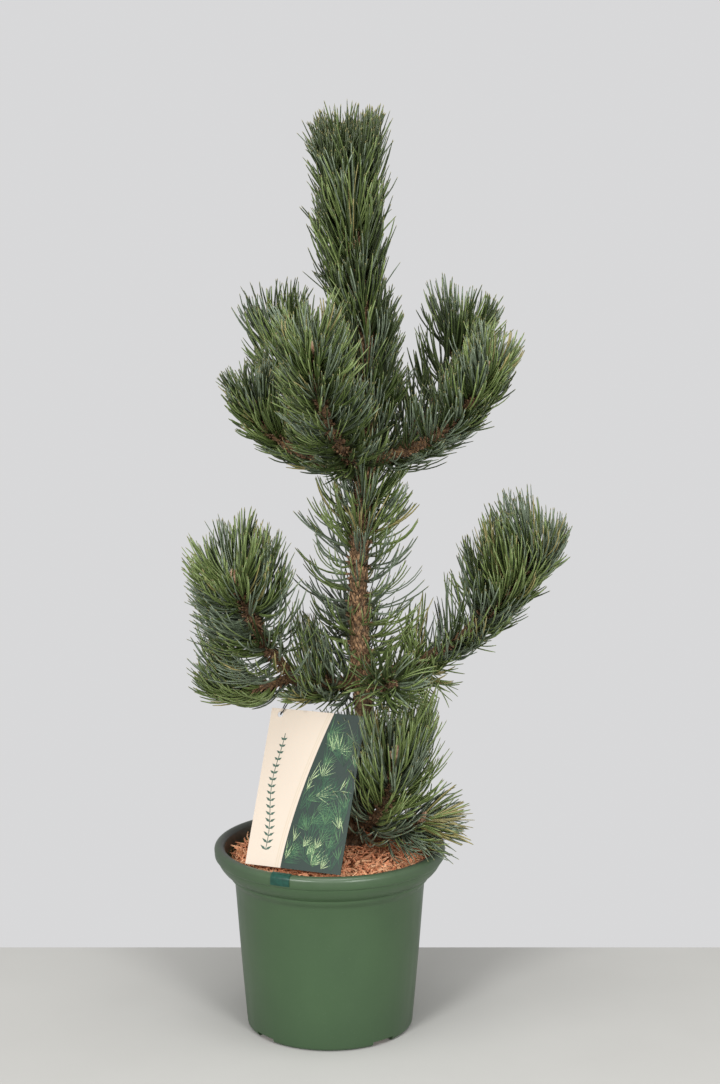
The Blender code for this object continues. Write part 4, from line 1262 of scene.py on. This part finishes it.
def needle_piece(name, needles, finish, start, end, **own):
    """One piece of needles, tips or sheaths, each drawn between these shares of its needle's length."""
    points = bpy.data.meshes.new(name)
    points.vertices.add(len(needles["reach"]))
    points.vertices.foreach_set("co", needles["root"].astype(np.float32).ravel())
    for key in ("out", "lifted", "flat"):
        stored = points.attributes.new(key, "FLOAT_VECTOR", "POINT")
        stored.data.foreach_set("vector", needles[key].astype(np.float32).ravel())
    stored = points.attributes.new("reach", "FLOAT", "POINT")
    stored.data.foreach_set("value", needles["reach"].astype(np.float32))
    piece = NEEDLE_TREE.grow(name, points, finish, {
        "Sides": 3, "Segments": 2, "Width": NEEDLE_WIDTH, "Flatness": NEEDLE_FLATNESS,
        "From": start, "To": end, "Taper": NEEDLE_TAPER, **own,
    })
    for key in ("root", "out", "lifted", "flat", "reach", "share", "ring"):
        if key in piece.data.attributes:
            piece.data.attributes.remove(piece.data.attributes[key])
    return piece


def needle_finish(name, dark, light):
    return mottled(name, dark, light, 0.40, 0.55, 180.0, 0.16)


NEEDLE_TREE = needle_tree()
grown_pairs = []
for number, shoot in enumerate(ALL_SHOOTS):
    pairs = grow_pairs(shoot, 100 + number)
    pairs["kind"] = deal_kinds(shoot, pairs, 200 + number)
    grown_pairs.append(pairs)
all_pairs = {key: np.concatenate([pairs[key] for pairs in grown_pairs]) for key in grown_pairs[0]}
all_needles = split_pairs(all_pairs, 7)
box_low, box_high = np.array(solid_box[0]), np.array(solid_box[1])
room = BOX_MARGIN * (box_high - box_low)
tips = on_curve(all_needles, 1.0)
all_needles = picked(all_needles, ((tips > box_low - room) & (tips < box_high + room)).all(axis=1))
needle_nodes = [name for name in frame["nodes"] if name.endswith("_needles")]
for index, (kind, dark, light) in enumerate(NEEDLE_KINDS):
    needles = picked(all_needles, all_needles["kind"] == index)
    finish = needle_finish(f"needle_{kind}", dark, light)
    piece = needle_piece(f"needles_{kind}", needles, finish, SHEATH_SHARE * 0.8, TIP_SHARE, Segments=6)
    fit(piece, "pine_needles", *needle_nodes)
finish = needle_finish("needle_tip", (0.170, 0.170, 0.060), (0.240, 0.215, 0.090))
fit(needle_piece("needle_tips", all_needles, finish, TIP_SHARE, 1.0), "pine_needles")
all_pairs["flat"] = unit(np.cross(all_pairs["out"], TURN_START))
finish = scale_finish("needle_sheath", (0.105, 0.052, 0.028), (0.250, 0.150, 0.085))
own = {"Sides": 5, "Width": SHEATH_WIDTH, "Flatness": 1.0}
fit(needle_piece("needle_sheaths", all_pairs, finish, 0.0, SHEATH_SHARE, **own), "pine_needles")


# The label is a coated card on a plastic tongue that hooks over the lip, held back by a thin tie round
# the left bough. Its left part is blank cream, its right part is dark green with a plain sprig pattern.

CARD_THICKNESS = 0.0008
CARD_BOW = 0.0012
CARD_CREAM = (0.530, 0.465, 0.390)
CARD_WARM_CREAM = (0.620, 0.465, 0.350)
CARD_GREY_CREAM = (0.500, 0.440, 0.360)
CARD_GREEN = (0.005, 0.021, 0.014)
LINE_GOLD = (0.420, 0.340, 0.210)
LINE_PLACES = (-0.030, -0.052)  # from the border, as shares of the card's width
BORDER_FOOT = 0.37              # the cream part's right border at its foot, as a share of the card's width
BORDER_BOW = 0.30               # how far it comes to the right on its way up
BORDER_POWER = 1.6
HOLE_RADIUS = 0.0030
HOLE_FROM_TOP = 0.0061
HOLE_FROM_SIDE = 0.0105
HOLE_PLACE = Vector((HOLE_FROM_SIDE - CARD_WIDTH / 2, 0.0, CARD_HEIGHT - HOLE_FROM_TOP))
PRINT_RISE = 0.00015            # from the card to the front of the print
PRINT_THICKNESS = 0.00013
PRINT_MARGIN = 0.0012
FRONDS = (
    # name, colour, seed, count, length and width of a leaf
    ("label_fronds_dark", (0.020, 0.070, 0.034), 5, 64, 0.030, 0.0009),
    ("label_fronds_mid", (0.070, 0.160, 0.066), 6, 40, 0.026, 0.0007),
    ("label_fronds_pale", (0.380, 0.480, 0.250), 7, 30, 0.023, 0.0006),
)
TWIG_SPAN = (0.10, 0.80)        # its foot and its last leaves, as shares of the card's height
TWIG_STEPS = 16
TONGUE_WIDTH = 0.0205
TONGUE_PLACE = 0.0475           # its middle, from the card's left edge
TONGUE_COLUMNS = 8
TONGUE_TEAL = (0.010, 0.052, 0.038)
TIE_RADIUS = 0.0006
TIE_HALF_WIDTHS = (0.0050, 0.0105)          # of the loop, at its foot and at its top
TIE_OVER = 0.0090               # from the bough's middle to the top of the loop
TIE_POINTS = 48
TIE_BLACK = (0.018, 0.020, 0.018)


def card_finish():
    """Cream board with a curved border line, and a dark green field to the right of it."""
    finish = Finish("printed_card", CARD_CREAM, 0.42, 0.3)
    finish.place = finish.add("ShaderNodeUVMap", {}, uv_map="card")[0]
    fibres = finish.grain(60.0)
    cream = finish.mix(finish.between(fibres, 0.3, 0.7, 0.0, 0.30), CARD_CREAM, CARD_WARM_CREAM)
    across, height, _ = finish.parts(finish.place)
    bowed = finish.maths("POWER", height, BORDER_POWER)
    border = finish.maths("MULTIPLY_ADD", bowed, BORDER_BOW, BORDER_FOOT)
    past = finish.maths("SUBTRACT", across, border)
    tone = finish.mix(finish.between(past, 0.0, 0.003), cream, CARD_GREEN)
    for place in LINE_PLACES:
        near = finish.maths("ABSOLUTE", finish.maths("SUBTRACT", past, place))
        tone = finish.mix(finish.between(near, 0.0, 0.008, 0.40, 0.0), tone, LINE_GOLD)
    finish.set("Base Color", tone)
    finish.relief(fibres, 0.05, 0.0005)
    return finish


def card_point(across, height, through):
    """A point of the card, which bows a little, from its sideways and upward shares."""
    bow = CARD_BOW * (1 - (2 * across - 1) ** 2) * height
    return Vector(((across - 0.5) * CARD_WIDTH, through - bow, height * CARD_HEIGHT))


def make_card(front, back):
    bpy.ops.mesh.primitive_grid_add(x_subdivisions=28, y_subdivisions=40, size=1.0, calc_uvs=False)
    card = bpy.context.object
    card.name = "label_sheet"
    mesh = card.data
    flat = mesh.uv_layers.new(name="card")
    for loop in mesh.loops:
        across, height, _ = mesh.vertices[loop.vertex_index].co
        flat.data[loop.index].uv = (across + 0.5, height + 0.5)
    for vert in mesh.vertices:
        vert.co = card_point(vert.co.x + 0.5, vert.co.y + 0.5, 0.0)
    solid = card.modifiers.new("board", "SOLIDIFY")
    solid.thickness = CARD_THICKNESS
    solid.offset = 0.0
    bake_modifiers(card)
    bpy.ops.mesh.primitive_cylinder_add(vertices=32, radius=HOLE_RADIUS, depth=0.02)
    punch = bpy.context.object
    punch.data.transform(Matrix.Translation(HOLE_PLACE) @ Matrix.Rotation(math.radians(90), 4, "X"))
    cut(card, punch)
    paint(card.data, front, back)
    for face in card.data.polygons:
        face.material_index = 1 if face.normal.y > 0.5 else 0
    card.data.transform(card_place())
    return card


def thin_print(name, outlines, ink):
    """Thin printed shapes, each outlined in metres from the card's lower left corner."""
    front = -CARD_THICKNESS / 2 - PRINT_RISE
    skin = Skin()
    for outline in outlines:
        shares = [(point.x / CARD_WIDTH, point.y / CARD_HEIGHT) for point in outline]
        skin.add([[card_point(*share, y) for share in shares] for y in (front + PRINT_THICKNESS, front)])
    mesh = skin.mesh(name)
    mesh.transform(card_place())
    return new_piece(name, mesh, uneven_finish(name + "_ink", ink, 0.5, 420.0, 0.0001))


def leaf_outline(foot, angle, length, width):
    """A pointed leaf from its foot, leaning by this angle from the upright."""
    way = Vector((math.sin(angle), math.cos(angle)))
    across = Vector((way.y, -way.x)) * width / 2
    return [foot, foot + way * length * 0.4 + across, foot + way * length, foot + way * length * 0.4 - across]


def on_green(point):
    """Whether a point lies on the card's green field, a little inside its edges."""
    border = BORDER_FOOT + BORDER_BOW * max(point.y / CARD_HEIGHT, 0.0) ** BORDER_POWER
    in_height = PRINT_MARGIN < point.y < CARD_HEIGHT - PRINT_MARGIN
    return in_height and border * CARD_WIDTH + PRINT_MARGIN < point.x < CARD_WIDTH - PRINT_MARGIN


def frond_shapes(seed, count, size, width):
    """Small fans of leaves strewn over the green field."""
    dice = random.Random(seed)
    shapes = []
    for _ in range(count):
        foot = Vector((dice.uniform(BORDER_FOOT, 1.0) * CARD_WIDTH, dice.uniform(0.0, 0.97) * CARD_HEIGHT))
        lean = dice.uniform(-0.6, 1.3)
        length = size * dice.uniform(0.6, 1.2)
        for blade in range(-3, 4):
            angle = lean + blade * dice.uniform(0.13, 0.30)
            outline = leaf_outline(foot, angle, length * (1.0 - 0.09 * abs(blade)), width)
            if all(on_green(point) for point in outline):
                shapes.append(outline)
    return shapes


def twig_point(step):
    share = blend(*TWIG_SPAN, step / TWIG_STEPS)
    return Vector(((0.165 + 0.028 * math.sin(share * 9)) * CARD_WIDTH, share * CARD_HEIGHT))


def twig_shapes():
    """A plain upright twig with paired leaves on the cream field."""
    side = Vector((0.00035, 0.0))
    shapes = []
    for step in range(TWIG_STEPS + 1):
        foot, top = twig_point(step), twig_point(step + 1)
        shapes.append([foot - side, foot + side, top + side, top - side])
        length = 0.0078 * (1 - 0.45 * (step / TWIG_STEPS))
        shapes += [leaf_outline(foot, way * 0.95, length, 0.0026) for way in (-1, 1)]
    return shapes


def make_tongue(finish):
    """The tongue that hooks over the lip: a thin strip that follows the lip's outline outside."""
    foot = card_place() @ Vector((TONGUE_PLACE - CARD_WIDTH / 2, 0.0, 0.0))
    turn = math.atan2(foot.y, foot.x)
    roll = LIP_WIDTH / 2
    outline = arc((RIM_RADIUS - roll, POT_HEIGHT - 0.0046), (roll + 0.0005, 0.0052), 100, 0, 12)
    outline += [(RIM_RADIUS + 0.0006, POT_HEIGHT - 0.0080), (RIM_RADIUS + 0.0003, POT_HEIGHT - 0.0105)]
    points = []
    faces = []
    for row, (radius, height) in enumerate(outline):
        half = TONGUE_WIDTH / 2 / radius
        for column in range(TONGUE_COLUMNS + 1):
            angle = turn + blend(-half, half, column / TONGUE_COLUMNS)
            if row and column:
                here = len(points)
                below = here - TONGUE_COLUMNS - 1
                faces.append((below - 1, below, here, here - 1))
            points.append((radius * math.cos(angle), radius * math.sin(angle), height))
    mesh = bpy.data.meshes.new("label_tongue")
    mesh.from_pydata(points, [], faces)
    tongue = new_piece("label_tongue", outward(mesh), finish)
    solid = tongue.modifiers.new("strip", "SOLIDIFY")
    solid.thickness = 0.0005
    solid.offset = 1.0
    bake_modifiers(tongue)
    tongue.data.shade_smooth()
    tongue.data.set_sharp_from_angle(angle=math.radians(40))
    return tongue


def make_tie(finish):
    """A thin egg-shaped loop from the card's hole up and round the left bough."""
    bottom = np.array(card_place() @ HOLE_PLACE)
    share = (LEFT_NEEDLES_END + FORK_SHARE) / 2
    top = LEFT_BOUGH(share) + UP * TIE_OVER
    up_way = unit(top - bottom)
    out_way = unit(np.cross(up_way, heading(LEFT_BOUGH, share)))
    half = np.linalg.norm(top - bottom) / 2
    curve = new_curve("label_string")
    curve.bevel_depth = TIE_RADIUS
    curve.bevel_resolution = 3
    spline = curve.splines.new("POLY")
    spline.points.add(TIE_POINTS - 1)
    spline.use_cyclic_u = True
    for number, control in enumerate(spline.points):
        angle = 2 * math.pi * number / TIE_POINTS
        rise = -math.cos(angle)
        width = blend(*TIE_HALF_WIDTHS, (1 + rise) / 2)
        control.co = (*((bottom + top) / 2 + up_way * half * rise + out_way * width * math.sin(angle)), 1.0)
    guide = add_item("label_string_guide", curve)
    mesh = frozen(guide)
    bpy.data.objects.remove(guide, do_unlink=True)
    mesh.shade_smooth()
    return new_piece("label_string", mesh, finish)


def uneven_finish(name, colour, roughness, scale, depth):
    """A plain colour that is a little lighter in places, on a fine-grained surface."""
    dark, light = [tuple(part * share for part in colour) for share in (0.78, 1.22)]
    finish = mottled(name, dark, light, roughness, 0.3, scale, 0.15)
    finish.relief(finish.patches, 0.2, depth)
    return finish


plain_board = mottled("plain_board", CARD_CREAM, CARD_GREY_CREAM, 0.75, 0.2, 900.0, 0.15)
fit(make_card(card_finish(), plain_board), "label_card", "label_card")
for name, ink, *own in FRONDS:
    fit(thin_print(name, frond_shapes(*own), ink), "label_card")
fit(thin_print("label_twig", twig_shapes(), (0.040, 0.085, 0.062)), "label_card")
fit(make_tongue(uneven_finish("teal_plastic", TONGUE_TEAL, 0.35, 300.0, 0.0002)), "label_card")
fit(make_tie(uneven_finish("dark_string", TIE_BLACK, 0.55, 1600.0, 0.0002)), "tie", "label_tie")


# The stage is a plain pale floor, a pale grey surround, two large soft lights in front and one above, and
# the camera at the height and angle of a standing photographer.

FLOOR_GREY = (0.440, 0.435, 0.416)
FLOOR_PALE = (0.462, 0.457, 0.438)
FLOOR_LEVEL = -0.0004
FLOOR_BACK = 0.217              # the floor ends a little behind the plant
FLOOR_CORNERS = ((-4.0, -5.0), (4.0, -5.0), (4.0, FLOOR_BACK), (-4.0, FLOOR_BACK))
LIGHTS = (
    # name, place, what it points at, diameter, power in watts
    ("front_left_light", (-1.3, -2.4, 1.5), (0.0, 0.0, 0.35), 0.8, 58),
    ("front_right_light", (1.3, -2.4, 1.2), (0.0, 0.0, 0.35), 0.8, 46),
    ("top_light", (0.1, -0.6, 2.5), (0.0, 0.0, 0.4), 1.2, 30),
)
AMBIENT = (0.48, 0.48, 0.48)    # the surround as a light
BACKDROP = (0.688, 0.688, 0.696)
CAMERA_PLACE = (0.0316, -2.1454, 0.8705)
CAMERA_PITCH = 80.54            # degrees from looking straight down
LENS = 70.73                    # millimetres, on a sensor 36 mm along its long side

floor_mesh = bpy.data.meshes.new("floor")
floor_mesh.from_pydata([(*corner, FLOOR_LEVEL) for corner in FLOOR_CORNERS], [], [(0, 1, 2, 3)])
new_piece("floor", floor_mesh, mottled("pale_floor", FLOOR_GREY, FLOOR_PALE, 0.75, 0.2, 3.0, 0.15))

for name, place, target, size, power in LIGHTS:
    lamp = bpy.data.lights.new(name, "AREA")
    lamp.shape = "DISK"
    lamp.size = size
    lamp.energy = power
    item = add_item(name, lamp)
    item.location = place
    item.rotation_euler = (Vector(target) - Vector(place)).to_track_quat("-Z", "Y").to_euler()

world = bpy.data.worlds.new("surround")
world.use_nodes = True
surround = NodeTree(world.node_tree)
seen = surround.add("ShaderNodeLightPath", {})["Is Camera Ray"]
background = surround.tree.nodes["Background"]
surround.tree.links.new(surround.mix(seen, AMBIENT, BACKDROP), background.inputs["Color"])
bpy.context.scene.world = world
bpy.context.scene.view_settings.view_transform = "Standard"

camera = add_item("camera", bpy.data.cameras.new("camera"))
camera.location = CAMERA_PLACE
camera.rotation_euler = (math.radians(CAMERA_PITCH), 0.0, 0.0)
camera.data.lens = LENS
camera.data.sensor_width = 36.0
bpy.context.scene.camera = camera
